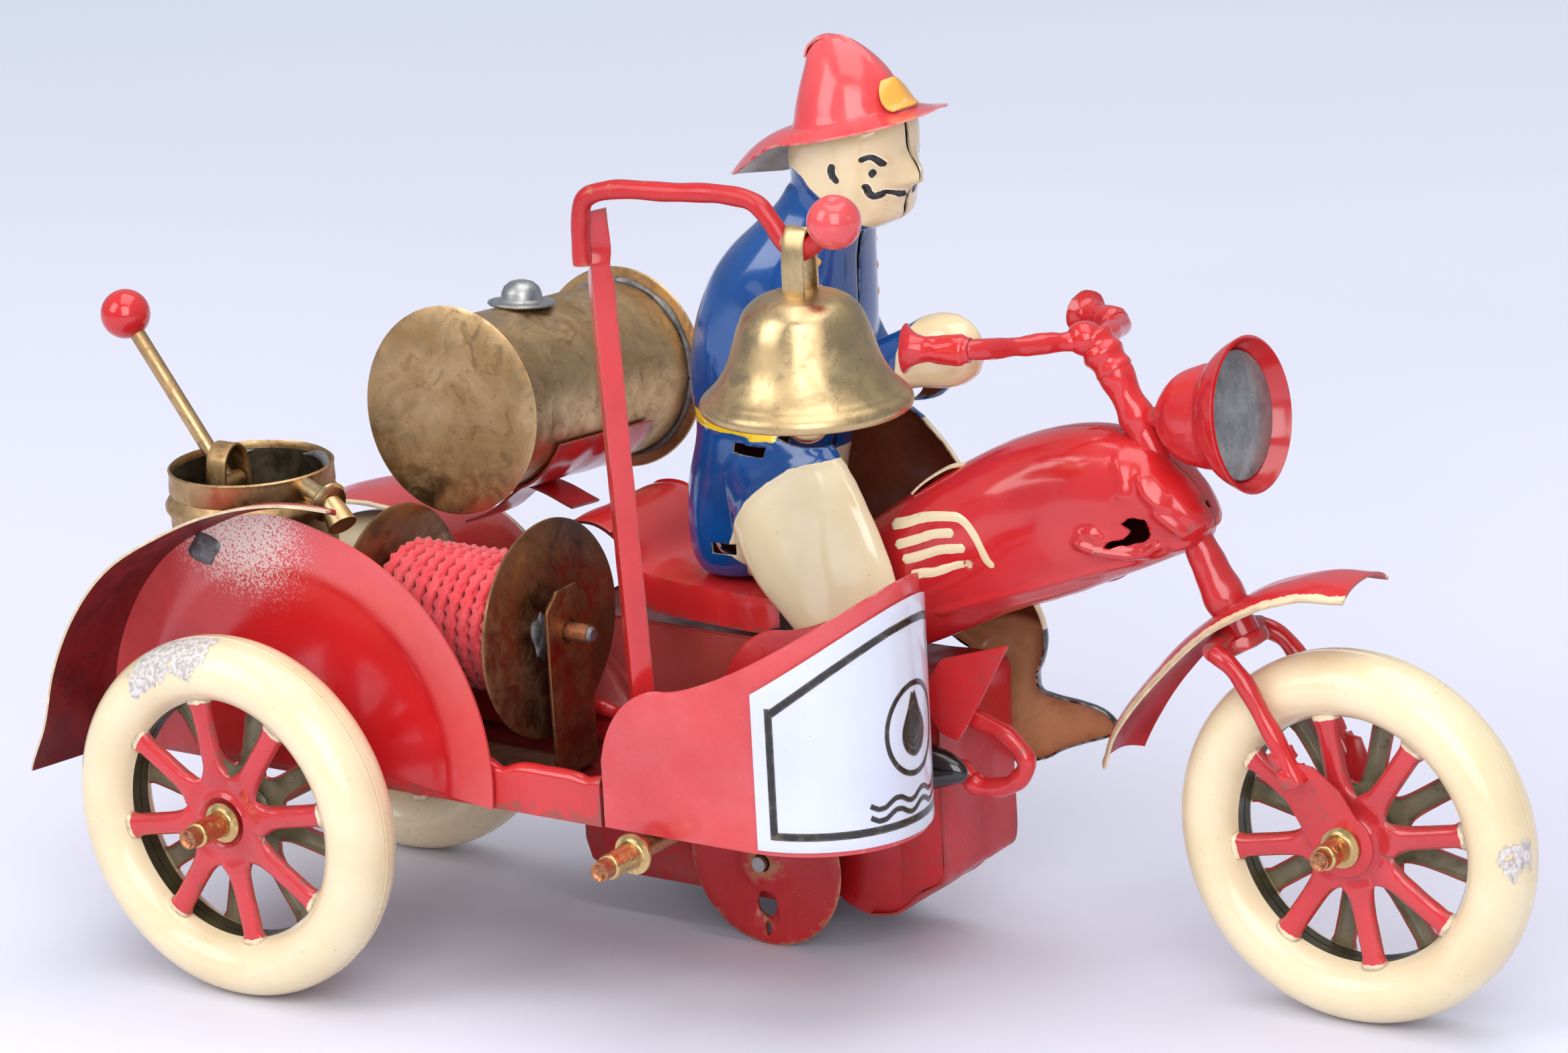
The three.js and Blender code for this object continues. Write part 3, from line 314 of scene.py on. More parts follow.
def strokes(name, lines, target, side, material, lift=0.16):
    """Raised brush strokes on a surface: each line is (points, width), seen along Y."""
    bvh = BVHTree.FromPolygons([v.co for v in target.data.vertices],
                               [p.vertices for p in target.data.polygons])
    form = Form()
    for points, width in lines:
        path = spline(points, max(10, 6 * len(points))) if len(points) > 2 else np.linspace(*points, 14)
        last = len(path) - 1
        rows = []
        for i, (x, z) in enumerate(path):
            dx, dz = path[min(i + 1, last)] - path[max(i - 1, 0)]
            length = math.hypot(dx, dz)
            across = np.array([-dz, dx]) / length
            ends = min(i, last - i) * length / 2
            wide = width(i / last) if callable(width) else width
            half = wide / 2 * math.sqrt(max(0.02, 1 - max(0.0, 1 - ends / (wide / 2)) ** 2))
            half *= 1 + 0.12 * noise.noise((x * 0.6, z * 0.6, 3.1))
            row = []
            for s in np.linspace(-1, 1, 7):
                px, pz = x + across[0] * half * s, z + across[1] * half * s
                start = Vector(place((px, side * 60, pz)))
                hit, normal, _, _ = bvh.ray_cast(start, Vector((0, -side, 0)))
                if hit is None:
                    hit, normal, _, _ = bvh.find_nearest(Vector(place((px, side * 12, pz))))
                normal = normal if normal.y * side > 0 else -normal
                rise = lift * (1 - 0.6 * s * s)
                row.append([hit[k] + normal[k] * rise * MM for k in range(3)])
            rows.append(row)
        top = [[[(c[0] - FOOT.x) / MM, (c[1] - FOOT.y) / MM, c[2] / MM] for c in row] for row in rows]
        low = [[[c[0], c[1] - side * 0.35, c[2]] for c in row] for row in top]
        form.loft([t + list(reversed(b)) for t, b in zip(top, low)])
    return build(name, form, material, sharp=60)


# ---------------------------------------------------------------- materials
def colour(red, green, blue):
    """A screen colour as the linear one that a shader takes."""
    return tuple(((c / 255 + 0.055) / 1.055) ** 2.4 if c > 10 else c / 255 / 12.92
                 for c in (red, green, blue)) + (1.0,)


class Shade:
    """A material's node tree, with short names for the nodes that the finishes use."""

    def __init__(self, name, roughness=0.3, metal=0.0, coat=0.0, coat_roughness=0.05, ior=1.5):
        self.material = bpy.data.materials.new(name)
        self.material.use_nodes = True
        self.tree = self.material.node_tree
        self.tree.nodes.clear()
        self.skin = self.tree.nodes.new("ShaderNodeBsdfPrincipled")
        out = self.tree.nodes.new("ShaderNodeOutputMaterial")
        self.tree.links.new(self.skin.outputs[0], out.inputs["Surface"])
        for socket, value in (("Roughness", roughness), ("Metallic", metal), ("Coat Weight", coat),
                              ("Coat Roughness", coat_roughness), ("IOR", ior)):
            self.skin.inputs[socket].default_value = value
        texture = self.tree.nodes.new("ShaderNodeTexCoord")
        scale = self.tree.nodes.new("ShaderNodeVectorMath")
        scale.operation = "SCALE"
        scale.inputs["Scale"].default_value = 1 / MM
        self.tree.links.new(texture.outputs["Object"], scale.inputs[0])
        self.at = scale.outputs[0]

    def node(self, kind, values, out=0, **settings):
        made = self.tree.nodes.new(kind)
        for key, value in settings.items():
            setattr(made, key, value)
        for key, value in values.items():
            if isinstance(value, bpy.types.NodeSocket):
                self.tree.links.new(value, made.inputs[key])
            else:
                made.inputs[key].default_value = value
        return made.outputs[out]

    def noise(self, size, detail=3.0, rough=0.55, warp=0.0, at=None):
        return self.node("ShaderNodeTexNoise", {"Vector": at or self.at, "Scale": 1 / size,
                                                "Detail": detail, "Roughness": rough, "Distortion": warp})

    def stretched(self, x, y, z):
        """The place, scaled on each axis, for streaks and grain."""
        return self.node("ShaderNodeVectorMath", {0: self.at, 1: (x, y, z)}, operation="MULTIPLY")

    def math(self, operation, a, b=0.0):
        return self.node("ShaderNodeMath", {0: a, 1: b}, operation=operation)

    def step(self, value, low, high, first=0.0, last=1.0):
        return self.node("ShaderNodeMapRange", {"Value": value, "From Min": low, "From Max": high,
                                                "To Min": first, "To Max": last},
                         interpolation_type="SMOOTHSTEP")

    def mix(self, share, first, second):
        return self.node("ShaderNodeMix", {0: share, 6: first, 7: second}, 2, data_type="RGBA")

    def mottle(self, size, first, second):
        """Two close colours in soft clouds of a size in millimetres."""
        return self.mix(self.step(self.noise(size, 3), 0.35, 0.7), first, second)

    def attribute(self, name):
        return self.node("ShaderNodeAttribute", {}, 2, attribute_name=name)

    def zone(self, name, ragged=0.25, size=1.6, soft=0.12):
        """A sharp mask from a marked distance, with a slightly ragged hand-painted edge."""
        wobble = self.math("MULTIPLY", self.math("SUBTRACT", self.noise(size, 2), 0.5), ragged * 4)
        return self.step(self.math("ADD", self.attribute(name), wobble), -soft, soft)

    def edges(self, low=0.54, high=0.6):
        """Where the surface is convex, broken up by noise, as paint rubs off edges."""
        pointy = self.tree.nodes.new("ShaderNodeNewGeometry").outputs["Pointiness"]
        grit = self.math("SUBTRACT", self.noise(2.2, 4), 0.5)
        worn = self.math("ADD", pointy, self.math("MULTIPLY", grit, 0.2))
        return self.step(worn, low, high)

    def bump(self, height, strength, distance):
        made = self.node("ShaderNodeBump", {"Height": height, "Strength": strength,
                                            "Distance": distance * MM})
        self.set("Normal", made)

    def set(self, socket, value):
        if isinstance(value, bpy.types.NodeSocket):
            self.tree.links.new(value, self.skin.inputs[socket])
        else:
            self.skin.inputs[socket].default_value = value


def enamel(name, base, dark, haze=None, hazy=0.0, roughness=0.2, chips=0.5, under=(92, 78, 66), layers=(),
           coat=0.35):
    """Glossy enamel on tin: mottled colour, a dusty bloom, specks, scratches and worn edges.
    layers are (attribute, colour) zones painted over it."""
    s = Shade(name, roughness, coat=coat, coat_roughness=0.08)
    paint = s.mottle(26, colour(*base), colour(*dark))
    for attribute, over in layers:
        paint = s.mix(s.zone(attribute), paint, colour(*over))
    if haze:
        dust = s.step(s.noise(18, 5, 0.6), 0.3, 0.75, hazy * 0.35, hazy)
        paint = s.mix(dust, paint, colour(*haze))
    specks = s.step(s.noise(0.55, 1), 0.765, 0.79)
    blotch = s.step(s.noise(9, 2), 0.5, 0.62)
    paint = s.mix(s.math("MULTIPLY", s.math("MULTIPLY", specks, blotch), 0.8), paint, colour(*under))
    worn = s.math("MULTIPLY", s.edges(), chips)
    paint = s.mix(worn, paint, colour(*under))
    s.set("Base Color", paint)
    smear = s.step(s.noise(7, 5, 0.65, 0.4), 0.3, 0.75, roughness * 0.75, roughness * 1.7)
    hair = s.step(s.noise(1.1, 2, 0.5, 0.0, s.stretched(1, 1, 0.06)), 0.68, 0.74, 0.0, 0.2)
    s.set("Roughness", s.math("ADD", s.math("ADD", smear, hair), s.math("MULTIPLY", worn, 0.3)))
    wave = s.math("ADD", s.noise(7, 2), s.math("MULTIPLY", s.noise(0.8, 2), 0.06))
    s.bump(s.math("SUBTRACT", wave, s.math("MULTIPLY", worn, 0.3)), 0.35, 0.35)
    return s.material


def metal(name, base, tarnish, dirt, stain=0.5, roughness=0.3, patch=12, grain=None, fine=0.05):
    """Bare metal: broad tarnish, small dark specks, fingerprints and fine turned or drawn grain."""
    s = Shade(name, roughness, metal=1.0)
    cloud = s.step(s.noise(patch, 6, 0.62, 0.6), 0.36, 0.66, 0.0, stain)
    paint = s.mix(cloud, colour(*base), colour(*tarnish))
    mottle = s.step(s.noise(patch / 3.2, 5, 0.7, 1.2), 0.52, 0.68, 0.0, stain * 0.8)
    paint = s.mix(mottle, paint, colour(*dirt))
    specks = s.step(s.noise(0.7, 2), 0.66, 0.74, 0.0, 0.75)
    sparse = s.step(s.noise(6, 2), 0.45, 0.6)
    paint = s.mix(s.math("MULTIPLY", specks, sparse), paint, colour(*dirt))
    s.set("Base Color", paint)
    s.set("Metallic", s.step(mottle, 0.0, 1.0, 1.0, 0.7))
    rub = s.step(s.noise(5, 6, 0.7, 0.5), 0.3, 0.72, roughness * 0.7, roughness * 1.6)
    s.set("Roughness", s.math("ADD", rub, s.math("MULTIPLY", cloud, 0.15)))
    lines = s.noise(0.5, 2, 0.6, 0.0, s.stretched(*grain)) if grain else s.noise(0.6, 2)
    s.bump(s.math("ADD", lines, s.math("MULTIPLY", s.noise(6, 2), 2.0)), 0.3, fine)
    return s.material


def flat_paint(name, base, dark, roughness=0.45, bump=0.1):
    """A matt coat, such as the lacquer inside the pressings."""
    s = Shade(name, roughness)
    paint = s.mix(s.step(s.noise(8, 5, 0.65, 0.5), 0.32, 0.7), colour(*base), colour(*dark))
    grime = s.step(s.noise(1.3, 3), 0.62, 0.72, 0.0, 0.5)
    s.set("Base Color", s.mix(grime, paint, colour(*[c * 0.55 for c in dark])))
    s.set("Roughness", s.step(s.noise(4, 4), 0.3, 0.7, roughness * 0.8, roughness * 1.4))
    s.bump(s.noise(1.5, 4), bump, 0.3)
    return s.material


def cream_enamel(name, layers=()):
    """Cream tyre and leg paint, a little dirty, with dark specks and grey scuffs."""
    s = Shade(name, 0.22, coat=0.3, coat_roughness=0.08)
    paint = s.mix(s.step(s.noise(22, 4), 0.35, 0.7), colour(240, 222, 184), colour(230, 208, 166))
    for attribute, over in layers:
        paint = s.mix(s.zone(attribute, 0.2), paint, colour(*over))
    specks = s.math("MULTIPLY", s.step(s.noise(0.6, 1), 0.74, 0.78), s.step(s.noise(8, 2), 0.5, 0.6))
    paint = s.mix(s.math("MULTIPLY", specks, 0.7), paint, colour(96, 78, 58))
    scuffs = s.step(s.noise(1.5, 5, 0.7, 1.0), 0.66, 0.72, 0.0, 0.55)
    where = s.step(s.noise(15, 2), 0.56, 0.64)
    paint = s.mix(s.math("MULTIPLY", scuffs, where), paint, colour(140, 122, 96))
    s.set("Base Color", paint)
    s.set("Roughness", s.step(s.noise(6, 5, 0.6), 0.3, 0.75, 0.16, 0.36))
    s.bump(s.math("ADD", s.noise(9, 2), s.math("MULTIPLY", s.noise(0.9, 2), 0.05)), 0.3, 0.35)
    return s.material


RED = enamel("red_enamel", (206, 28, 32), (186, 20, 26), (226, 120, 120), 0.1, 0.17)
# Darker matt red for the front mudguard's underside: painted shade under the guard.
RED_UNDER_SHADED = flat_paint("underside_red_painted_shade", (176, 24, 30), (150, 16, 22), 0.34)
# Satin red for the low casings: the satin finish is real, its darker colour is painted shade on the low
# parts.
RED_SATIN_SHADED = enamel("shaded_satin_red_enamel", (190, 22, 28), (170, 16, 22), None, 0, 0.34, 0.35, coat=0.06)
RED_HAZE = enamel("hazy_red_enamel", (212, 44, 46), (196, 30, 36), (226, 132, 134), 0.34, 0.24, 0.4,
                  (215, 190, 180))
RED_DARK = flat_paint("dark_red_inside", (120, 20, 22), (84, 12, 16), 0.4)
HELMET_RED = enamel("helmet_enamel", (222, 52, 56), (208, 38, 44), (238, 150, 150), 0.22, 0.18, 0.35,
                    (240, 200, 180))
CREAM = cream_enamel("cream_enamel")
CREAM_INSIDE = flat_paint("cream_inside", (226, 214, 200), (196, 178, 156), 0.3)
OLIVE = flat_paint("olive_inside", (146, 134, 108), (112, 102, 76), 0.35)
OLIVE_DARK = flat_paint("dark_olive_inside", (74, 70, 44), (48, 46, 28), 0.4)
BLACK = enamel("black_enamel", (24, 23, 22), (14, 14, 14), None, 0, 0.22, 0.3, (150, 130, 100))
WHITE = enamel("white_enamel", (214, 218, 232), (206, 210, 226), None, 0, 0.16, 0.25, (150, 140, 130))
ORANGE = enamel("orange_enamel", (238, 172, 66), (226, 150, 48), None, 0, 0.25, 0.5, (220, 200, 160))
BELL_BRASS = metal("bell_brass", (204, 178, 134), (178, 148, 102), (128, 100, 70), 0.4, 0.3, 14,
                   (0.3, 0.3, 5.0), 0.012)
AGED_BRASS = metal("aged_brass", (202, 168, 124), (152, 118, 76), (104, 80, 52), 0.7, 0.36, 16)
BRONZE = metal("brown_bronze", (158, 118, 84), (120, 86, 60), (78, 56, 42), 0.8, 0.4, 15)
PIN_BRASS = metal("pin_brass", (214, 186, 128), (186, 140, 100), (120, 84, 54), 0.5, 0.26, 5)
COPPER = metal("copper_pin", (196, 138, 100), (160, 104, 70), (96, 62, 44), 0.6, 0.34, 3)
STEEL = metal("dull_steel", (176, 176, 176), (138, 138, 136), (84, 82, 78), 0.6, 0.34, 9)
SOLDER = metal("solder", (150, 150, 152), (116, 116, 118), (78, 76, 74), 0.8, 0.5, 4, None, 0.3)
WORN_RED = enamel("worn_red_enamel", (194, 30, 34), (174, 22, 26), None, 0, 0.3, 0.7, (176, 140, 96),
                  coat=0.1)


def lens_material():
    s = Shade("headlight_glass", 0.34, metal=0.35, coat=0.4)
    paint = s.mix(s.step(s.noise(6, 5, 0.7), 0.35, 0.65), colour(136, 136, 133), colour(104, 106, 106))
    s.set("Base Color", s.mix(s.step(s.noise(0.8, 3), 0.6, 0.7, 0, 0.5), paint, colour(168, 168, 164)))
    s.set("Roughness", s.step(s.noise(3, 5), 0.3, 0.7, 0.25, 0.5))
    s.bump(s.noise(0.7, 3), 0.2, 0.1)
    return s.material


def rope_material():
    s = Shade("red_rope", 0.62)
    fibres = s.noise(0.32, 3, 0.7, 0.8, s.stretched(1.0, 2.2, 2.2))
    paint = s.mix(s.step(fibres, 0.35, 0.65), colour(240, 78, 86), colour(214, 44, 56))
    s.set("Base Color", s.mix(s.step(s.noise(5, 3), 0.4, 0.7, 0, 0.5), paint, colour(240, 104, 108)))
    s.set("Sheen Weight", 0.35)
    s.set("Sheen Roughness", 0.4)
    s.bump(fibres, 0.5, 0.2)
    return s.material


LENS = lens_material()
ROPE = rope_material()


# ---------------------------------------------------------------- wheels
HUB_MEET = 9.2                # where neighbouring spokes run together
SPOKE_END = 24.2
SPIDER = 2.6                  # the pressed spokes' edges, out from the wheel's middle plane


def tyre_form(side, centre):
    """Half a hollow tyre: a rolled seam, a round face and a flange that turns in to the middle."""
    cheek = [(29.1 + 5.9 * math.cos(a), 0.4 + 6.9 * math.sin(a))
             for a in np.linspace(0.12, 2.72, 26)]
    face = [(34.6, 0.15), (WHEEL_R - 0.02, 0.35), (34.9, 0.75), *cheek[1:], (23.3, 2.2)]
    inner = [(r - 0.5 * (1 if r > 30 else -1 if r < 26 else 0), y - 0.5 * (1 if 25 < r < 33 else 0.4))
             for r, y in face]
    wall = [(23.25, 2.2), (23.25, 0.2), (23.7, 0.2), (23.7, 1.6)]
    form = Form()
    form.turned([(max(r, 1), max(y, 0.15)) for r, y in face + inner[::-1]], centre, (0, side, 0), 112)
    form.turned(wall, centre, (0, side, 0), 112, zone=1)
    return form


def spider_form(side, centre, turn):
    """A pressed disc with eight half-round spokes that widen into each other round the hub."""
    form = Form()
    columns = np.linspace(-1, 1, 13)
    radii = [2.4, 3.3, 3.9, 4.4, 5.0, 5.6, 6.4, 7.4, 8.4, HUB_MEET,
             *np.linspace(HUB_MEET + 0.35, 13, 9), *np.linspace(13.8, SPOKE_END, 10)]
    for spoke in range(8):
        middle = turn + spoke * math.pi / 4
        rows = []
        for r in radii:
            merge = math.pi / 8
            if r > HUB_MEET:
                half = 2.2 + 1.3 * math.exp(-(r - HUB_MEET) / 1.3) + 0.9 * smooth(21, SPOKE_END, r) ** 2
                merge = min(merge, math.asin(min(1, half / r)))
            crown = 1.75 * smooth(HUB_MEET - 2.4, HUB_MEET + 2.2, r)
            ring = 0.75 * math.exp(-((r - 5.0) / 0.55) ** 2) - 0.5 * smooth(4.4, 3.6, r)
            flat = SPIDER + 1.0 * (1 - smooth(HUB_MEET - 1, HUB_MEET + 2, r)) + ring
            row = []
            for t in columns:
                a = middle + t * merge
                y = flat + crown * math.sqrt(max(0, 1 - abs(t) ** 2.6))
                y += 0.14 * noise.noise((r * 0.4, a * 2.5, side + centre[0]))
                row.append((centre[0] + r * math.cos(a), centre[1] + side * y, centre[2] + r * math.sin(a)))
            rows.append(row)
        form.grid(rows)
    return form


def painted_spoke_material():
    """Red spokes whose outer ends were caught by the cream of the tyre."""
    return enamel("spoke_enamel", (204, 34, 42), (184, 22, 30), (226, 120, 120), 0.16, 0.2, 0.5,
                  layers=[("tyre_paint", (240, 222, 184))])


def bare_tyre_material():
    """Cream enamel that has flaked off to grey undercoat in one patch."""
    s = Shade("flaked_cream_enamel", 0.22, coat=0.25, coat_roughness=0.1)
    paint = s.mix(s.step(s.noise(22, 4), 0.35, 0.7), colour(240, 222, 184), colour(230, 208, 166))
    specks = s.math("MULTIPLY", s.step(s.noise(0.6, 1), 0.74, 0.78), s.step(s.noise(8, 2), 0.5, 0.6))
    paint = s.mix(s.math("MULTIPLY", specks, 0.7), paint, colour(96, 78, 58))
    scuffs = s.step(s.noise(1.5, 5, 0.7, 1.0), 0.66, 0.72, 0.0, 0.55)
    paint = s.mix(s.math("MULTIPLY", scuffs, s.step(s.noise(15, 2), 0.54, 0.62)), paint,
                  colour(140, 122, 96))
    flaked = s.zone("flaked", 1.5, 2.6, 0.08)
    rim = s.math("SUBTRACT", s.zone("flaked", 1.5, 2.6, 0.5), flaked)
    grey = s.mix(s.step(s.noise(1.0, 4, 0.7), 0.4, 0.62), colour(222, 214, 210), colour(178, 168, 162))
    paint = s.mix(flaked, paint, grey)
    paint = s.mix(s.math("MULTIPLY", rim, 0.55), paint, colour(120, 110, 100))
    s.set("Base Color", paint)
    s.set("Roughness", s.step(flaked, 0.0, 1.0, 0.24, 0.7))
    height = s.math("SUBTRACT", s.math("MULTIPLY", s.noise(0.9, 3), 0.15), flaked)
    s.bump(height, 0.6, 0.25)
    return s.material


SPOKE_RED = painted_spoke_material()
FLAKED = bare_tyre_material()


def wheel(name, side_name, side, turn):
    centre = WHEELS[name]
    flakes = {"sidecar_wheel": ((-12.5, 31.5), (-4.5, 33.5), (-16, 26)),
              "front_wheel": ((34, 3), (33.5, 0.5)), "rear_wheel": ()}[name] if side < 0 else ()
    skin = FLAKED if flakes else CREAM
    tyre = build(f"{name}_tyre_{side_name}", tyre_form(side, centre), [skin, OLIVE_DARK], sharp=50)
    if flakes:
        sizes = (5.2, 4.6, 2.6) if name == "sidecar_wheel" else (1.9, 1.5)
        mark(tyre, "flaked", lambda x, y, z: max(size - math.hypot(x - centre[0] - dx, z - centre[2] - dz)
                                                 for (dx, dz), size in zip(flakes, sizes)))
    spider = build(f"{name}_spokes_{side_name}", spider_form(side, centre, turn), [SPOKE_RED, OLIVE],
                   inner=(centre[0], centre[1] - side * 60, centre[2]), thick=SHEET, sharp=60)
    mark(spider, "tyre_paint", lambda x, y, z: math.hypot(x - centre[0], z - centre[2]) - 23.1)
    on(tyre, name, "cream_paint", f"{name}_{side_name}")
    on(spider, name, "red_paint")


for wheel_name in WHEELS:
    wheel(wheel_name, "right", -1, math.radians(11))
    wheel(wheel_name, "left", 1, math.radians(33))


# ---------------------------------------------------------------- axles
def axle_cap(form, x, z, face, outward, sleeve):
    """A brass top-hat cap with a row of crimped dimples round its sleeve."""
    steps, rows = 40, []
    profile = [(2.0, 0), (3.85, 0), (3.95, 0.3), (3.85, 0.62), (3.3, 0.8), (2.75, 0.9), (2.5, 1.2),
               *[(2.42, h) for h in np.linspace(1.5, sleeve - 0.5, 16)], (2.3, sleeve - 0.15),
               (2.1, sleeve), (1.7, sleeve)]
    for i in range(steps):
        a = 2 * math.pi * i / steps
        row = []
        for r, h in profile:
            pressed = 0.0
            for k in range(4):
                for level in (0.42, 0.74):
                    far = math.hypot((h - sleeve * level) / 0.55,
                                     2.4 * math.sin((a - k * math.pi / 2 - level) / 2) * 2 / 0.6)
                    pressed += 0.34 * math.exp(-far * far)
            r = r - pressed * (1.2 < h < sleeve - 0.3)
            row.append((x + r * math.cos(a), face + outward * h, z + r * math.sin(a)))
        rows.append(row)
    form.grid(rows, 0, wrap=True, loop=True)


def pin(form, x, z, start, end, tip_low, zone=1):
    """A hollow copper-coloured pin whose open ends are a little ragged."""
    rings = []
    for y in (start, *np.linspace(start, end, 30)[1:]):
        rings.append([(x + 1.9 * math.cos(a), y, z + 1.9 * math.sin(a))
                      for a in np.linspace(0, 6.283, 28)[:-1]])
    direction = -1 if tip_low else 1
    for depth, r in ((0.0, 1.5), (0.5, 1.1), (0.6, 0.2)):
        rings.append([(x + r * math.cos(a), end - direction * depth + 0.12 * math.sin(3 * a),
                       z + r * math.sin(a))
                      for a in np.linspace(0, 6.283, 28)[:-1]])
    form.loft(rings, zone)


def axle(node, body, face, sleeve, both):
    (x, _, z), low, high = middle_of(node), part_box(node)[0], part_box(node)[1]
    right, left = (low.y - FOOT.y) / MM, (high.y - FOOT.y) / MM
    form = Form()
    pin(form, x, z, left, right, True)
    axle_cap(form, x, z, face, -1, sleeve)
    if both:
        pin(form, x, z, 0, left, False)
        axle_cap(form, x, z, -face, 1, sleeve)
    on(build(f"{node}_pin", form, [PIN_BRASS, COPPER], sharp=45), body, "axle_brass", node)


axle("rear_axle", "root", -10.7, 3.2, True)
axle("front_axle", "fork", -6.3, 6.8, True)
axle("sidecar_axle", "root", SIDECAR_WHEEL[1] - 3.9, 8.4, False)
axle("crossbar", "root", -66.0, 8.4, False)


# ---------------------------------------------------------------- body shells
COWL = [
    (104.5, 74.5, 113, 57.5, 12.5), (114.6, 82.8, 123.7, 59.3, 13.6), (124, 89.4, 135, 64.2, 14),
    (134.2, 95.8, 145.5, 69.3, 13.8), (146.3, 102, 157.4, 73.7, 13), (158.1, 105.5, 168.1, 78.5, 11.5),
    (168, 105.9, 178.3, 83.2, 9), (176.1, 103.6, 184.4, 86.3, 7.6), (179.6, 100.4, 186.2, 89.4, 6),
]


def half_section(station, angle, power=0.8, rim=GAP / 2, inset=0.0):
    """A point of a pressed half form: angle 0 is its top edge and 180 degrees its foot."""
    tx, tz, fx, fz, bulge = station
    c, s = math.cos(angle), math.sin(angle)
    reach = math.copysign(abs(c) ** power, c)
    x = (tx + fx) / 2 + (tx - fx) / 2 * reach
    z = (tz + fz) / 2 + (tz - fz) / 2 * reach
    return x, rim + (bulge - rim - inset) * max(s, 0) ** power, z


# Creases and lips left where the nose of the shell was crushed: path, height and half width in mm.
CREASES = [
    ([(165.2, 87.0), (167.6, 85.9), (170.4, 85.2), (173.4, 84.6), (176.2, 84.9), (178.2, 86.6)], 1.5, 1.0),
    ([(165.6, 88.6), (167.2, 89.2), (168.9, 87.6)], 1.0, 0.9),
    ([(171.4, 102.6), (172.8, 99.4), (173.0, 96.4)], 0.8, 1.2),
    ([(176.4, 99.6), (177.6, 97.0), (179.8, 95.2)], 1.0, 1.3),
    ([(179.4, 93.2), (181.8, 91.2), (183.8, 89.4)], 0.8, 1.0),
    ([(135.4, 70.4), (139, 71.6), (150, 75.4), (163, 79.8), (176, 84.0), (184, 87.0)], 0.7, 0.8),
]


def cowl_form(side):
    rows = []
    stations = spline(COWL, 110)
    for i, station in enumerate(stations):
        t = i / (len(stations) - 1)
        row = []
        for angle in np.linspace(0, math.pi, 72):
            x, y, z = half_section(station, angle)
            share = angle / math.pi
            lip = max(height * math.exp(-(distance_to(path, x, z) / wide) ** 2)
                      for path, height, wide in CREASES)
            sag = max(0, noise.noise((x * 0.16, 3.0, side * 2.0)))
            z -= 1.3 * smooth(0.9, 1, share) * sag * smooth(0.3, 0.5, t)
            fold = 0.5 * math.exp(-((share - 0.92) / 0.03) ** 2) * smooth(0.2, 0.4, t)
            dent = 1.5 * math.exp(-((x - 176) / 6) ** 2 - ((z - 89) / 4.5) ** 2)
            ripple = 0.35 * noise.noise((x * 0.09, z * 0.12, side * 4.0)) * math.sin(angle)
            crumple = noise.noise((x * 0.25, z * 0.3, side * 9.0))
            buckle = 0.5 * crumple * smooth(0.62, 0.8, share) * smooth(0.5, 0.8, t)
            y = max(GAP / 2, y + lip + fold * 0.3 - dent + ripple + buckle * 1.6)
            row.append((x, side * y, z))
        rows.append(row)
    nose = stations[-1]
    centre = ((nose[0] + nose[2]) / 2, (nose[1] + nose[3]) / 2)
    for shrink, push in ((0.82, 1.4), (0.5, 2.4), (0.12, 2.8)):
        rows.append([(centre[0] + (x - centre[0]) * shrink + push, y * shrink,
                      centre[1] + (z - centre[1]) * shrink - push * 0.3)
                     for x, y, z in rows[len(stations) - 1]])
    return Form().grid(rows)


def torn(outline, seed):
    """An outline broken by small steps, as torn tin is."""
    path = spline([*outline, outline[0]], 34)[:-1]
    return [(x + 0.5 * noise.noise((x * 0.9, z * 0.9, seed)), z + 0.5 * noise.noise((x * 0.8, z, seed + 5)))
            for x, z in path]


cowls = {}
for side_name, side in (("right", -1), ("left", 1)):
    shell = build(f"body_cowl_{side_name}", cowl_form(side), [RED, RED_DARK], inner=(145, 0, 84),
                  thick=SHEET, sharp=50)
    mouth = [(172.4, 90.9), (174.4, 92.2), (176.6, 91.8), (177.2, 89.4), (176.2, 87.6), (174, 87.0),
             (171.4, 86.5), (169.4, 86.4), (170.4, 87.6), (172.8, 88.2), (173.6, 89.4)]
    cut_by(shell, through(torn(mouth, side * 3), side, 2, 16))
    pinhole = arc(142.7, 81.0, 0.9, 0, 360, 18)[:-1]
    cut_by(shell, through(pinhole, side, 4, 16))
    on(shell, "root", "red_paint", f"body_shell_{side_name}")
    cowls[side_name] = shell

for side_name, side in (("right", -1), ("left", 1)):
    bars = [
        ([(124.8, 85.7), (128.7, 86.9), (131.7, 88.1), (134.7, 88.9), (138.1, 89.4), (140.5, 89.5),
          (142.4, 88.6), (144.3, 86.5), (145.6, 84.2), (146.7, 82.1), (147.9, 81.0)],
         lambda t: 1.9 - 0.5 * t),
        ([(126.8, 82.6), (129.5, 83.6), (132.4, 84.7), (135.1, 85.8), (138.0, 86.4), (139.8, 86.6)], 1.7),
        ([(128.6, 80.2), (131.5, 81.1), (134.3, 82.2), (137.0, 83.2), (139.8, 83.7), (142.2, 84.1)], 1.75),
        ([(130.4, 77.3), (132.7, 78.2), (135.4, 78.7), (138.2, 79.8), (140.9, 80.8), (143.8, 81.3)],
         lambda t: 2.0 - 0.8 * t),
    ]
    lines = strokes(f"tank_stripes_{side_name}", bars, cowls[side_name], side, CREAM)
    on(lines, "root", "cream_paint")

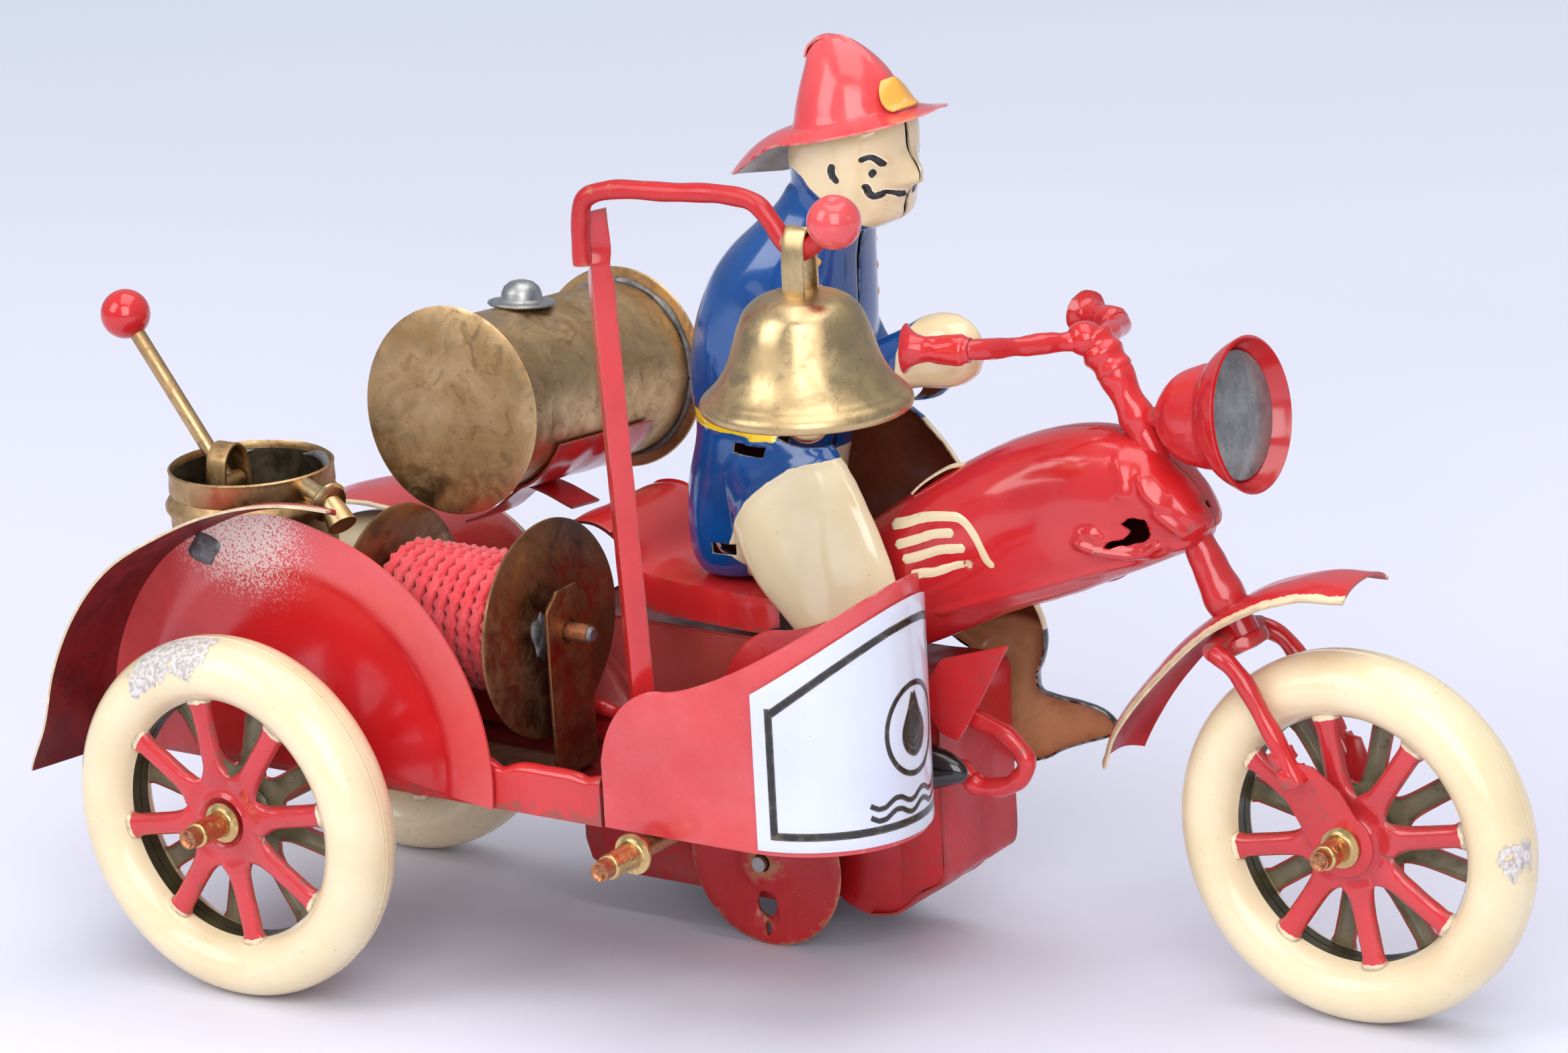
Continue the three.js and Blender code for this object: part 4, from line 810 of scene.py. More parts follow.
slot_tab = Form()
slot_rows = []
slot_path = [(126.4, 91.0), (128.5, 92.9), (131.5, 94.9), (134.5, 96.4), (137.4, 96.9)]
for i, (x, z) in enumerate(spline(slot_path, 26)):
    t = i / 25
    half = 2.1 - 1.2 * t + 0.25 * noise.noise((x, 2.0, 1.0))
    slot_rows.append([(x, -4.6 + half * s + 0.15 * noise.noise((x * 1.3, s, 4.0)),
                       z + 0.5 * t - 0.25 * s * s)
                      for s in np.linspace(-1, 1, 9)])
slot_tab.grid(slot_rows)
on(build("torn_slot_tab", slot_tab, [CREAM, RED_DARK], inner=(132, -4.6, 80), thick=0.45), "root",
   "red_paint")


# ---------------------------------------------------------------- bent sheet strips
def ribbon(path, half, count=60, across=15, crown=0.0, wobble=0.0, offset=0.0, seed=1.0):
    """An open strip: a path of (x, z) points with a half width in y, a crown across it and a
    slight waviness."""
    points = spline(path, count)
    rows = []
    for i, (x, z) in enumerate(points):
        t = i / (count - 1)
        ahead = points[min(i + 1, count - 1)] - points[max(i - 1, 0)]
        nx, nz = -ahead[1] / np.linalg.norm(ahead), ahead[0] / np.linalg.norm(ahead)
        wide = half(t) if callable(half) else half
        row = []
        for s in np.linspace(-1, 1, across):
            rise = crown * (1 - abs(s) ** 3) + wobble * noise.noise((x * 0.16, s * 1.3, seed))
            row.append((x + nx * rise, offset + wide * s, z + nz * rise))
        rows.append(row)
    return Form().grid(rows)


def fender_paint(name):
    """Red outside with a hand-painted cream line along both edges."""
    return enamel(name, (206, 30, 36), (190, 22, 28), (228, 130, 130), 0.1, 0.2, 0.35,
                  layers=[("edge_line", (238, 218, 178))])


FENDER_RED = fender_paint("lined_red_enamel")
FRONT_FENDER = [(166.0, 43.0), (168.9, 49.4), (173.1, 55.6), (178.2, 61.8), (183.4, 67.0), (188, 71.2),
                (193.2, 74.8), (199.5, 78.3), (206, 80.6), (212, 81.5), (217.2, 81.8)]


def front_half_width(t):
    return 8.9 * (0.84 + 0.16 * smooth(0, 0.12, t))


# The guard's underside takes the darker red, painted shade.
fender = build("front_mudguard", ribbon(FRONT_FENDER, front_half_width, 90, 25, 2.5, 0.25),
               [FENDER_RED, RED_UNDER_SHADED], inner=WHEELS["front_wheel"], thick=SHEET)
fender_path = [tuple(p) for p in spline(FRONT_FENDER, 40)]
fender_steps = np.linspace(0, 1, 40)


def along_fender(x, z):
    return min(zip(fender_path, fender_steps), key=lambda p: math.hypot(p[0][0] - x, p[0][1] - z))[1]


mark(fender, "edge_line", lambda x, y, z: 1.35 - (front_half_width(along_fender(x, z)) - abs(y)))
on(fender, "fork", "red_paint", "front_fender")

rear_arc = arc(0, WHEEL_R, 39.6, 205, 42, 26)
rear_guard = build("rear_mudguard", ribbon(rear_arc, 10.3, 90, 17, 0.6, 0.2), [FENDER_RED, RED_DARK],
                   inner=WHEELS["rear_wheel"], thick=SHEET)
mark(rear_guard, "edge_line", lambda x, y, z: 1.2 - (10.3 - abs(y)))
on(rear_guard, "root", "red_paint", "rear_fender")

stay_outline = [(-27, 63), (-30, 60), (-5, 30), (0, 28.6), (5, 30), (30, 27.6), (51.4, 26), (51.4, 42),
                (27, 63.6)]
stays = Form()
for low, high in ((-10.3, -9.7), (9.7, 10.3)):
    stays.slab(stay_outline, low, high)
on(build("rear_wheel_stays", stays, [RED_DARK], bevel=0.15), "root", "red_paint")


# ---------------------------------------------------------------- seat, motor casing, front plate
SEAT = [(51, 76.4), (54, 78.9), (60, 79.4), (65, 76.8), (69.4, 71.6), (75, 70.4), (84, 69.9), (101, 69.4)]
seat_form = Form()
seat_rows = []
for x, z in spline(SEAT, 60):
    skirt = 7.6 * smooth(64, 72, x) * (1 - 0.25 * smooth(96, 101, x))
    row = [(x + 0.02 * skirt, -14.8 + 0.3 * noise.noise((x * 0.2, 1, 2)), z - skirt * (1 - k / 5))
           for k in range(5)]
    for s in np.linspace(-1, 1, 15):
        row.append((x, 14.6 * s, z - 0.5 * abs(s) ** 6 + 0.25 * noise.noise((x * 0.12, s * 2, 7.7))))
    row += [(x + 0.02 * skirt, 14.8, z - skirt * (k + 1) / 5) for k in range(5)]
    seat_rows.append(row)
seat_form.grid(seat_rows)
seat = build("seat_pressing", seat_form, [RED, RED_DARK], inner=(75, 0, 30), thick=SHEET, sharp=50)
on(seat, "root", "red_paint", "seat")

BOX_TOP = 60.6
cowl_outline = [(52.2, BOX_TOP), (52.2, 14), (53.5, 10), (57, 8.2), (109.8, 8.2), (109.8, BOX_TOP)]
case = Form()
for y0, y1 in ((-13.9, -13.3), (13.3, 13.9)):
    case.slab(cowl_outline, y0, y1)
case.slab([(52.2, -13.9), (109.8, -13.9), (109.8, 13.9), (52.2, 13.9)], BOX_TOP - 0.5, BOX_TOP, "z")
# The motor casing takes the darker satin red, painted shade.
casing = build("motor_casing", case, [RED_SATIN_SHADED], bevel=0.2)
hole = Form()
for hx, hz in ((DRIVE_X, DRIVE_Z), (middle_of("winding_arbor")[0], middle_of("winding_arbor")[2])):
    hole.turned([(0, -16), (3.2, -16), (3.2, 16), (0, 16)], (hx, 0, hz), (0, 1, 0), 40, closed=False)
cut_by(casing, hole)
on(casing, "root", "red_paint", "motor_cowl")

FRONT_PLATE = [(112, 54.4), (122, 54.6), (132.6, 54.6), (134.0, 53.6), (134.2, 44), (134.3, 30),
               (134.2, 18.8), (133.4, 16.9), (128.6, 13.9), (123.4, 9.6), (117.0, 8.0)]
front = ribbon(FRONT_PLATE, 12.9, 84, 15, 0.0, 0.25, 0, 3.3)
# The front casing and its cheeks take the darker satin red, painted shade.
plate = build("front_casing", front, [RED_SATIN_SHADED, RED_DARK], inner=(110, 0, 30), thick=SHEET, sharp=50)
tabs = Form()
for y in (-12.6, 12.2):
    tabs.slab([(124.3, 12.6), (133.2, 17.2), (133.6, 19), (133.6, 50), (131, 51), (126.6, 49.8),
               (124.3, 47)], y, y + 0.4)
for y in (-12.1, 11.7):
    tabs.slab(arc(117.4, 20.6, 12.6, 0, 360, 48)[:-1], y, y + 0.4)
on(build("front_casing_cheeks", tabs, [RED_SATIN_SHADED], bevel=0.12), "root", "red_paint")
on(plate, "root", "red_paint", "front_plate")


def drive_disc(side_name, side):
    """A pressed disc with a raised centre and one oblong drive slot."""
    base = (DRIVE_X, side * 15.3, DRIVE_Z)
    profile = [(1.8, 0.9), (1.8, 2.4), (4.6, 2.4), (5.4, 2.1), (6.0, 1.5), (7.5, 1.25), (14.2, 1.45),
               (15.4, 1.55), (16.6, 1.35), (17, 0.95), (16.7, 0.5), (15, 0.7), (7, 0.5), (5, 1.0)]
    disc = build(f"drive_disc_{side_name}_pressing", Form().turned(profile, base, (0, side, 0), 90),
                 [WORN_RED], sharp=45)
    for x0, z0, rx, rz in ((DRIVE_X, DRIVE_Z - 8.6, 2.3, 2.6), (DRIVE_X, DRIVE_Z - 13.6, 0.7, 1.4)):
        outline = [(x0 + rx * math.cos(a), z0 + rz * math.sin(a)) for a in np.linspace(0, 6.283, 25)[:-1]]
        cut_by(disc, through(outline, side, 14, 19))
    on(disc, "drive", "red_paint", f"drive_disc_{side_name}")


drive_disc("right", -1)
drive_disc("left", 1)


# ---------------------------------------------------------------- fork, handlebar and lamp
STEM_TOP, STEM_FOOT = (166.2, 0, 118.4), (192.6, 0, 69.2)


def stem_radius(t):
    """A thick tube with a rolled collar, a dented middle and a waisted lower end."""
    return (2.9 + 0.5 * math.exp(-((t - 0.05) / 0.05) ** 2) + 0.5 * math.exp(-((t - 0.2) / 0.03) ** 2)
            + 0.1 * math.sin(t * 46) + 0.75 * math.exp(-((t - 0.83) / 0.07) ** 2)
            + 0.3 * smooth(0.55, 0.7, t))


stem_path = [tuple(Vector(STEM_TOP).lerp(Vector(STEM_FOOT), t)) for t in np.linspace(0, 1, 60)]
fork_form = Form().tube(stem_path, stem_radius, 24)
fork_form.turned([(0, -1.7), (3.2, -1.7), (5.6, -1.2), (5.9, 0), (5.6, 1.2), (3.2, 1.6), (0, 1.6)],
                 (191.2, 0, 68.2), (0.47, 0, -0.88), 40, closed=False)
fork_form.tube([(190.6, -8.6, 69.0), (190.2, -4, 69.8), (190.0, 0, 70.0), (190.2, 4, 69.8),
                (190.6, 8.6, 69.0)],
               lambda t: 2.1 + 0.6 * math.sin(math.pi * t), 18)
stem = build("fork_stem_tube", fork_form, [RED], sharp=60)
stem = displaced(stem, lambda x, y, z: tuple(0.22 * noise.noise((x * 0.35, y * 0.35, z * 0.35 + k * 9))
                                             for k in range(3)))
on(stem, "fork", "red_paint", "fork_stem")


def fork_leg(side_name, side):
    leg_path = spline([(190.8, side * 8.6, 69.2), (194.5, side * 9.5, 67.5), (197.4, side * 9.7, 64.6),
                       (201.4, side * 9.6, 58), (205.2, side * 9.4, 51.4), (207.6, side * 9.2, 46.6)], 40)
    form = Form().tube(leg_path, lambda t: 1.75 + 0.12 * math.sin(t * 21), 18)
    for (x, z), (nx, nz), wide in (((206.6, 48.4), (0.46, -0.88), 2.8), ((204.6, 51.6), (0.5, -0.86), 2.5)):
        form.tube([(x - nx * 1.4, side * 9.1, z - nz * 1.4), (x, side * 9.3, z),
                   (x + nx * 1.4, side * 9.0, z + nz * 1.4)],
                  wide, 16, squeeze=lambda t: 0.62)
    lug_rows = []
    outline = [*arc(FRONT_X, 35, 6, -160, 62, 22), (214.4, 45.6), (210.6, 50.4), (206.4, 51.0),
               (202.9, 49.2), (203.4, 44.2)]
    for y in (5.1, 5.4, 5.7):
        lug_rows.append([(x, side * (y + 3.7 * smooth(41.5, 47.5, z + 0.25 * (206 - x))), z)
                         for x, z in outline])
    form.loft(lug_rows)
    leg = build(f"fork_leg_{side_name}_wire", form, [RED], bevel=0.12, sharp=45)
    on(leg, "fork", "red_paint", f"fork_leg_{side_name}")


fork_leg("right", -1)
fork_leg("left", 1)

BAR_PATH = [(140.2, -23.1, 123.9), (148.6, -21, 124.1), (153.2, -12, 122.8), (158, -5, 122.4),
            (162, 0, 122.1), (160.5, 9, 121), (157.4, 19, 119.6), (153, 23, 119.3), (148.4, 24.5, 119.2)]
bars = Form().tube(spline(BAR_PATH, 110), lambda t: 1.9 + 0.16 * math.sin(t * 40)
                   + 0.5 * math.exp(-((t - 0.5) / 0.04) ** 2),
                   20)
for start, end in (((137.9, -23.7, 123.9), (149.6, -20.6, 124.0)),
                   ((146.5, 25.0, 119.2), (156.0, 20.9, 119.4))):
    grip = [tuple(Vector(start).lerp(Vector(end), t)) for t in np.linspace(0, 1, 46)]
    bars.tube(grip, lambda t: 2.3 + 2.3 * math.exp(-t / 0.1)
              + 0.6 * smooth(0.97, 0.86, t) * smooth(0.3, 0.8, t), 24)
clamp = [tuple(Vector((162.2, 0, 123.3)).lerp(Vector((167.4, 0, 116.6)), t)) for t in np.linspace(0, 1, 24)]
bars.tube(clamp, lambda t: 3.3 + 0.4 * math.sin(math.pi * t) + 0.25 * math.sin(t * 15)
          - 0.8 * smooth(0.1, 0, t), 22)
knob = [(0, -3.3), *[(3.3 * math.cos(a), 3.3 * math.sin(a)) for a in np.linspace(-1.4, 1.4, 15)], (0, 3.3)]
bars.turned(knob, (161.8, -1.2, 122.6), (0.3, -0.6, 0.74), 30, closed=False)
handlebar = build("handlebar_wire", bars, [RED], sharp=60)
handlebar = displaced(handlebar, lambda x, y, z: tuple(
    0.2 * noise.noise((x * 0.5, y * 0.5, z * 0.5 + k * 7)) for k in range(3)))
on(handlebar, "fork", "red_paint", "handlebar")

LAMP_RIM, LAMP_AXIS = (195, 0, 111.7), (0.989, 0, 0.147)
bowl_profile = spline([(0.0, -18.3), (3.2, -18.0), (5.6, -16.6), (8.2, -13.4), (9.5, -9), (10.0, -6.2),
                       (11.0, -5.2), (12.3, -3.7), (13.4, -1.9), (14.25, 0.0)], 50)
bowl = Form().turned([*[(max(r, 0), h) for r, h in bowl_profile], (14.1, 0.15), (13.6, 0.05),
                      *[(max(r - 0.6, 0), h + 0.45) for r, h in bowl_profile[::-1]]], LAMP_RIM, LAMP_AXIS,
                     96, closed=False)
bowl.tube([(173.4, 0, 108.7), (175, 0, 109), (177.8, 0, 109.4)], lambda t: 1.5 + 1.2 * t * t, 18)
lamp = build("headlight_pressing", bowl, [RED], sharp=50)
on(lamp, "fork", "red_paint", "headlight_bowl")
glass = Form().turned([(0, -3.3), (11.6, -2.9), (11.8, -2.6), (11.6, -2.4), (0, -2.0)], LAMP_RIM,
                      LAMP_AXIS, 72, closed=False)
on(build("headlight_disc", glass, [LENS], bevel=0.1), "fork", "steel", "headlight_lens")


# ---------------------------------------------------------------- water tank
def tank_place(x, y, z):
    c, s = math.cos(TANK_TILT), math.sin(TANK_TILT)
    return TANK_X + x, y * c - z * s, TANK_Z + y * s + z * c


TANK_AXIS = (0, math.cos(TANK_TILT), math.sin(TANK_TILT))
barrel_profile = [(17, h) for h in np.linspace(-26.6, 26.6, 40)] + [(16.4, 26.6), (16.4, -26.6)]
barrel = build("tank_barrel_sheet", Form().turned(barrel_profile, tank_place(0, 0, 0), TANK_AXIS, 120),
               [AGED_BRASS])
barrel = displaced(barrel, lambda x, y, z: (0.12 * noise.noise((x * 0.07, y * 0.06, z * 0.07)), 0,
                                            0.16 * noise.noise((x * 0.06, y * 0.08, z * 0.06 + 8))))
on(barrel, "root", "aged_brass", "tank_barrel")
for side_name, side in (("right", -1), ("left", 1)):
    end = [(0, 0.3), (12, 0.3), (15.6, 0.26), (16.6, 0.12), (19.6, 0.1), (20, -0.1), (19.8, -0.5),
           (17.4, -0.6), (0, -0.6)]
    cap = Form().turned(end, tank_place(0, side * 27.9, 0), tuple(side * c for c in TANK_AXIS), 120,
                        closed=False)
    seam = [tank_place(17.4 * math.cos(a), side * 27.0, 17.4 * math.sin(a))
            for a in np.linspace(0, 6.25, 90)]
    cap.tube(seam, lambda t: 0.55 + 0.15 * math.sin(t * 60), 8, zone=1)
    on(build(f"tank_end_{side_name}_disc", cap, [AGED_BRASS, SOLDER], sharp=35), "root", "aged_brass",
       f"tank_end_{side_name}")
filler = Form().turned([(0, 0), (6.4, 0), (6.6, 0.3), (6.4, 0.6), (4.4, 0.75), (4.0, 1.2), (3.9, 2.2),
                        (3.4, 3.4), (2.3, 4.3), (1.1, 4.65), (0, 4.72)], tank_place(0, -5, 17.2),
                       tank_place(0, 0, 1) - np.array(tank_place(0, 0, 0)), 64, closed=False)
on(build("filler_screw", filler, [STEEL], sharp=35), "root", "steel", "filler_cap")

cradle = Form()
pan = []
for y in np.linspace(-15.2, 15.2, 26):
    row = []
    for a in np.radians(np.linspace(203, 337, 30)):
        r = 17.75 + 0.25 * noise.noise((a * 2, y * 0.2, 3))
        row.append(tank_place(r * math.cos(a), y, r * math.sin(a)))
    pan.append(row)
cradle.grid(pan)
for feet in ([(0.5, -18.0), (-3, -20.6), (-8, -24.6), (-14.2, -27.4)],
             [(-0.5, -18.1), (5, -19.4), (9, -20.8), (11.4, -21.6)]):
    rows = []
    for x, z in spline(feet, 16):
        rows.append([tank_place(x, 4.5 * s, z) for s in np.linspace(-1, 1, 7)])
    cradle.grid(rows)
on(build("tank_saddle", cradle, [RED], thick=SHEET, centred=True, inner=tank_place(0, 0, 0)), "root",
   "red_paint", "tank_cradle")


# ---------------------------------------------------------------- rider
def ring(centre, across, half, rim, bulge, side, power=0.8):
    """A closed half ring: round the outer side of a limb or trunk and back along its open edge."""
    points = []
    for a in np.linspace(0, math.pi, 30):
        c, s = math.cos(a), max(0, math.sin(a))
        reach = half * math.copysign(abs(c) ** power, c)
        points.append((centre[0] + across[0] * reach, side * (rim + (bulge - rim) * s ** power),
                       centre[1] + across[1] * reach))
    return points


def upright_rings(stations, side, count):
    rows = []
    for z, back, front, bulge, tilt in spline(stations, count):
        rows.append(ring(((back + front) / 2, z), (1, tilt), (front - back) / 2, GAP / 2, bulge, side))
    return rows


def limb_rings(stations, side, count):
    rows = spline(stations, count)
    rings = []
    for i, (x, z, half, rim, bulge) in enumerate(rows):
        before, after = rows[max(i - 1, 0)], rows[min(i + 1, count - 1)]
        dx, dz = after[0] - before[0], after[1] - before[1]
        length = math.hypot(dx, dz)
        rings.append(ring((x, z), (-dz / length, dx / length), half, rim, bulge, side))
    return rings


TRUNK = [(70.8, 78.6, 94, 11.5, 0), (74, 76.6, 97, 13.2, 0), (80, 76, 101, 14.4, 0),
         (88, 76.4, 104, 14.8, 0), (97, 78.6, 106, 14.4, 0), (101, 78.8, 107.5, 14.4, 0),
         (108, 78, 111, 15.4, 0), (118, 79.6, 112.6, 15.8, 0), (128, 83.6, 113, 15.0, 0),
         (134, 88, 113.4, 13.4, 0), (139, 93.4, 114.4, 11.2, 0), (143, 98, 115.4, 9.6, 0),
         (147, 101, 117, 9.2, 0)]
HEAD = [(138.6, 108, 117, 6.5, 0.1), (139.8, 105.6, 121, 8.2, 0.06), (142, 103.4, 123.4, 9.4, 0),
        (146, 102, 124.3, 10, 0), (150, 101.6, 124.9, 10.3, 0), (154, 101.2, 125.2, 10.4, 0.1),
        (157.2, 101.5, 125, 10.2, 0.23), (158.6, 103.2, 123.4, 8.6, 0.26)]


def leg_stations(toe):
    """The thigh and calf; the calf leans towards its own toe."""
    lean = (toe - 143) / 12
    return [(95, 98, 11.5, 11, 15.6), (103, 90.8, 15, 13, 18.4), (109.4, 82.6, 15.6, 15.2, 20.3),
            (115.4, 73.6, 13.8, 15.6, 20.6), (119.6 + 6 * lean, 64, 10.8, 15.6, 20.6),
            (119.6 + 12 * lean, 57.6, 9.0, 15.6, 20.6), (119.4 + 12 * lean, 50.6, 7.0, 15.6, 20.6),
            (120.0 + 12 * lean, 44, 6.6, 15.7, 20.5), (120.6 + 12 * lean, 39.0, 5.6, 15.8, 20.2)]


def foot_stations(toe):
    """The boot from its heel to its toe: (x, z, half height, rim, bulge)."""
    rows = [(-27.4, 35.6, 2.6, 16.2, 18.6), (-26.4, 35.9, 4.6, 15.8, 20.0), (-24.0, 37.2, 6.0, 15.7, 20.4),
            (-20.4, 39.0, 6.9, 15.6, 20.5), (-16.4, 40.4, 6.8, 15.6, 20.5), (-12, 41.2, 5.4, 15.7, 20.4),
            (-7.6, 41.8, 4.3, 15.8, 20.2), (-3.6, 41.9, 3.2, 16.0, 19.6), (-0.8, 41.4, 1.7, 16.3, 18.6),
            (0, 41.2, 0.8, 16.6, 17.8)]
    return [(toe + x, *rest) for x, *rest in rows]


RIGHT_ARM = [(99, 124, 8.6, 10, 14.2), (102, 116.4, 8.2, 9.6, 15.4), (108, 110.8, 7.6, 9, 15.6),
             (115, 110.6, 6.4, 8.2, 15.2), (122, 114.4, 5.4, 7.8, 14.8), (129, 117.4, 5.6, 7.6, 14.8),
             (135, 119.4, 6.9, 7.6, 15), (140, 120.2, 6.6, 7.8, 14.8), (143.6, 120.4, 4.6, 8.2, 13.8),
             (145.2, 120.4, 2.0, 8.6, 12.2)]
LEFT_ARM = [(98.6, 123, 8.8, 10, 14.2), (101.4, 116, 8.2, 9.6, 15.4), (105.4, 111.4, 7.6, 9, 15.4),
            (110.6, 108.8, 6.2, 8.2, 15), (115.8, 108.6, 5.3, 7.8, 14.6), (120.4, 109.6, 5.5, 7.6, 14.8),
            (123.8, 110.2, 4.8, 7.8, 14.4), (125.6, 110.4, 3.2, 8.2, 13.4), (126.3, 110.4, 1.4, 8.6, 12.2)]


def nose_push(x, y, z):
    """The nose, lips and chin stand out from the face close to its middle seam."""
    if x < 117 or z < 139:
        return 0.0
    near = math.exp(-(y / 2.6) ** 2)
    nose = 3.2 * near * smooth(155, 149.8, z) * smooth(146.9, 148.6, z)
    lip = 0.7 * near * math.exp(-((z - 146.0) / 0.9) ** 2)
    chin = 0.5 * near * math.exp(-((z - 142.6) / 1.4) ** 2)
    socket = -0.5 * math.exp(-((x - 123.4) / 2.4) ** 2 - ((z - 151.9) / 1.6) ** 2 - ((abs(y) - 7) / 4) ** 2)
    return (nose + lip + chin) * smooth(117, 121, x) + socket


RIDER_VOXEL, RIDER_SHEET = 0.62, 0.45


def rider_half(side_name, side, toe, arm):
    """One pressed half of the rider: joined limbs, emptied from its flat side, painted and cut."""
    form = Form()
    form.loft(upright_rings(TRUNK, side, 70))
    form.loft(upright_rings(HEAD, side, 50))
    form.loft(limb_rings(leg_stations(toe), side, 90))
    form.loft(limb_rings(foot_stations(toe), side, 50))
    form.loft(limb_rings(arm, side, 60))
    obj = build(f"rider_{side_name}_pressing", form, [RIDER_PAINT, RIDER_INSIDE], sharp=60)
    skin = obj.modifiers.new("one_skin", "REMESH")
    skin.mode = "VOXEL"
    skin.voxel_size = RIDER_VOXEL * MM
    soft = obj.modifiers.new("soft", "SMOOTH")
    soft.factor = 0.5
    soft.iterations = 5
    applied(obj)
    displaced(obj, lambda x, y, z: (nose_push(x, y, z), 0, 0))
    displaced(obj, lambda x, y, z: (0, side * press(x, z), 0))
    bm = bmesh.new()
    bm.from_mesh(obj.data)
    bm.normal_update()
    open_side = [f for f in bm.faces if f.normal.y * side < -0.55]
    bmesh.ops.delete(bm, geom=open_side, context="FACES")
    islands = {v for v in bm.verts if len(v.link_faces) < 2}
    bmesh.ops.delete(bm, geom=list(islands), context="VERTS")
    for _ in range(8):
        rim = [v for v in bm.verts if v.is_boundary]
        moved = {}
        for v in rim:
            beside = [e.other_vert(v) for e in v.link_edges if e.is_boundary]
            if len(beside) == 2:
                moved[v] = v.co * 0.4 + (beside[0].co + beside[1].co) * 0.3
        for v, co in moved.items():
            v.co = co
    bm.to_mesh(obj.data)
    bm.free()
    for name, value in RIDER_MARKS.items():
        mark(obj, name, value)
    sheet = obj.modifiers.new("sheet", "SOLIDIFY")
    sheet.thickness = RIDER_SHEET * MM
    sheet.offset = -1
    sheet.material_offset = 1
    applied(obj)
    obj.data.set_sharp_from_angle(angle=math.radians(60))
    return obj


def press(x, z):
    """Depth pressed outwards, in millimetres: coat hem, collar edge, cuff and a ridge along the belt, less
    a hollow along the upper arm, with a slight waviness.
    """
    deep = 0.35 * math.exp(-(distance_to(COLLAR, x, z) / 0.8) ** 2)
    deep += 0.3 * math.exp(-(distance_to(COAT_HEM, x, z) / 0.9) ** 2)
    deep += 0.28 * math.exp(-(distance_to(CUFF, x, z) / 0.8) ** 2)
    deep += 0.35 * math.exp(-(distance_to([(86, 102.2), (103, 100.6)], x, z) / 1.3) ** 2)
    deep -= 0.5 * math.exp(-(distance_to([(99, 128), (104, 116), (112, 114)], x, z) / 2.0) ** 2)
    return deep + 0.25 * noise.noise((x * 0.11, 3.0, z * 0.11))


COLLAR = [(100, 152.6), (104.6, 151.4), (107.8, 150.0), (109.8, 148.0), (111.6, 146.6), (115.6, 144.2),
          (119.3, 141.5), (121.6, 139.4)]
COAT_HEM = [(119, 99.2), (114.6, 98.3), (110.9, 97.4), (107.3, 96.2), (103.4, 93.7), (99.8, 91.2),
            (96.5, 88.2), (93.5, 84.2), (90.6, 79.1), (90.2, 76.4)]
CUFF = [(132.8, 126.4), (131.8, 124.7), (130.7, 123.0), (130.1, 120.2), (129.4, 115.5), (129.4, 112.4),
        (131, 109)]
SKIN_HEAD = [*COLLAR, (122, 138.6), (140, 138.6), (140, 170), (90, 170), (90, 155)]
SKIN_HAND = [*CUFF, (132, 104), (160, 104), (160, 130), (136, 130)]
BREECHES = [*COAT_HEM, (92.4, 74), (90, 66), (96, 50), (112, 57.4), (136, 57.4), (150, 62), (150, 99),
            (125, 102)]
BOOTS = [(96, 20), (170, 20), (170, 58), (150, 59.4), (112, 59.4), (96, 50)]
BELT = [(76, 104.4), (87.5, 103.4), (91.7, 103.1), (94.9, 102.1), (99.2, 102.1), (103.7, 102.0),
        (103.5, 100.3), (96.6, 99.8), (93.3, 100.4), (89.8, 100.4), (87.0, 100.6), (76, 101.6)]

RIDER_MARKS = {
    "skin": lambda x, y, z: max(signed(SKIN_HEAD, x, z), signed(SKIN_HAND, x, z)) if z > 100 else -9,
    "breeches": lambda x, y, z: signed(BREECHES, x, z) if z < 103 else -9,
    "boot": lambda x, y, z: signed(BOOTS, x, z) if z < 64 else -9,
    "belt": lambda x, y, z: signed(BELT, x, z) if 98 < z < 106 else -9,
}


def rider_materials():
    s = Shade("rider_enamel", 0.16, coat=0.6, coat_roughness=0.06)
    blue = s.mottle(16, colour(8, 74, 142), colour(4, 58, 118))
    skin = s.mottle(14, colour(232, 208, 166), colour(222, 194, 150))
    breeches = s.mottle(18, colour(242, 226, 188), colour(234, 214, 172))
    streak = s.step(s.noise(1.4, 3, 0.6, 0.4, s.stretched(0.25, 0.25, 2.4)), 0.55, 0.7)
    yellow = s.mix(streak, colour(246, 208, 44), colour(150, 160, 44))
    paint = s.mix(s.zone("belt", 0.22, 2.0), blue, yellow)
    paint = s.mix(s.zone("skin", 0.14, 2.4), paint, skin)
    paint = s.mix(s.zone("breeches", 0.14, 2.6), paint, breeches)
    paint = s.mix(s.zone("boot", 0.1, 2.0), paint, colour(22, 21, 20))
    specks = s.math("MULTIPLY", s.step(s.noise(0.5, 1), 0.77, 0.8), s.step(s.noise(9, 2), 0.52, 0.62))
    paint = s.mix(s.math("MULTIPLY", specks, 0.7), paint, colour(120, 90, 66))
    worn = s.math("MULTIPLY", s.edges(0.56, 0.62), 0.5)
    paint = s.mix(worn, paint, colour(172, 168, 160))
    s.set("Base Color", paint)
    s.set("Roughness", s.step(s.noise(8, 5, 0.6, 0.4), 0.3, 0.75, 0.12, 0.28))
    s.bump(s.math("ADD", s.noise(7, 2), s.math("MULTIPLY", s.noise(1.0, 2), 0.05)), 0.3, 0.3)
    inside = Shade("rider_lacquer", 0.34)
    brown = inside.mix(inside.step(inside.noise(12, 5, 0.6, 0.4), 0.32, 0.7), colour(118, 60, 34),
                       colour(92, 44, 24))
    # The inside lacquer is brown; at the boots it is painted a lighter tan, painted light where light
    # reaches the inside.
    lit_tan = inside.mix(inside.step(inside.noise(9, 5, 0.6, 0.4), 0.32, 0.7), colour(196, 142, 102),
                     colour(172, 118, 80))
    inside.set("Base Color", inside.mix(inside.zone("boot", 0.3, 6, 1.0), brown, lit_tan))
    inside.set("Roughness", inside.step(inside.noise(5, 4), 0.3, 0.7, 0.24, 0.45))
    inside.bump(inside.noise(2.0, 4), 0.12, 0.25)
    return s.material, inside.material


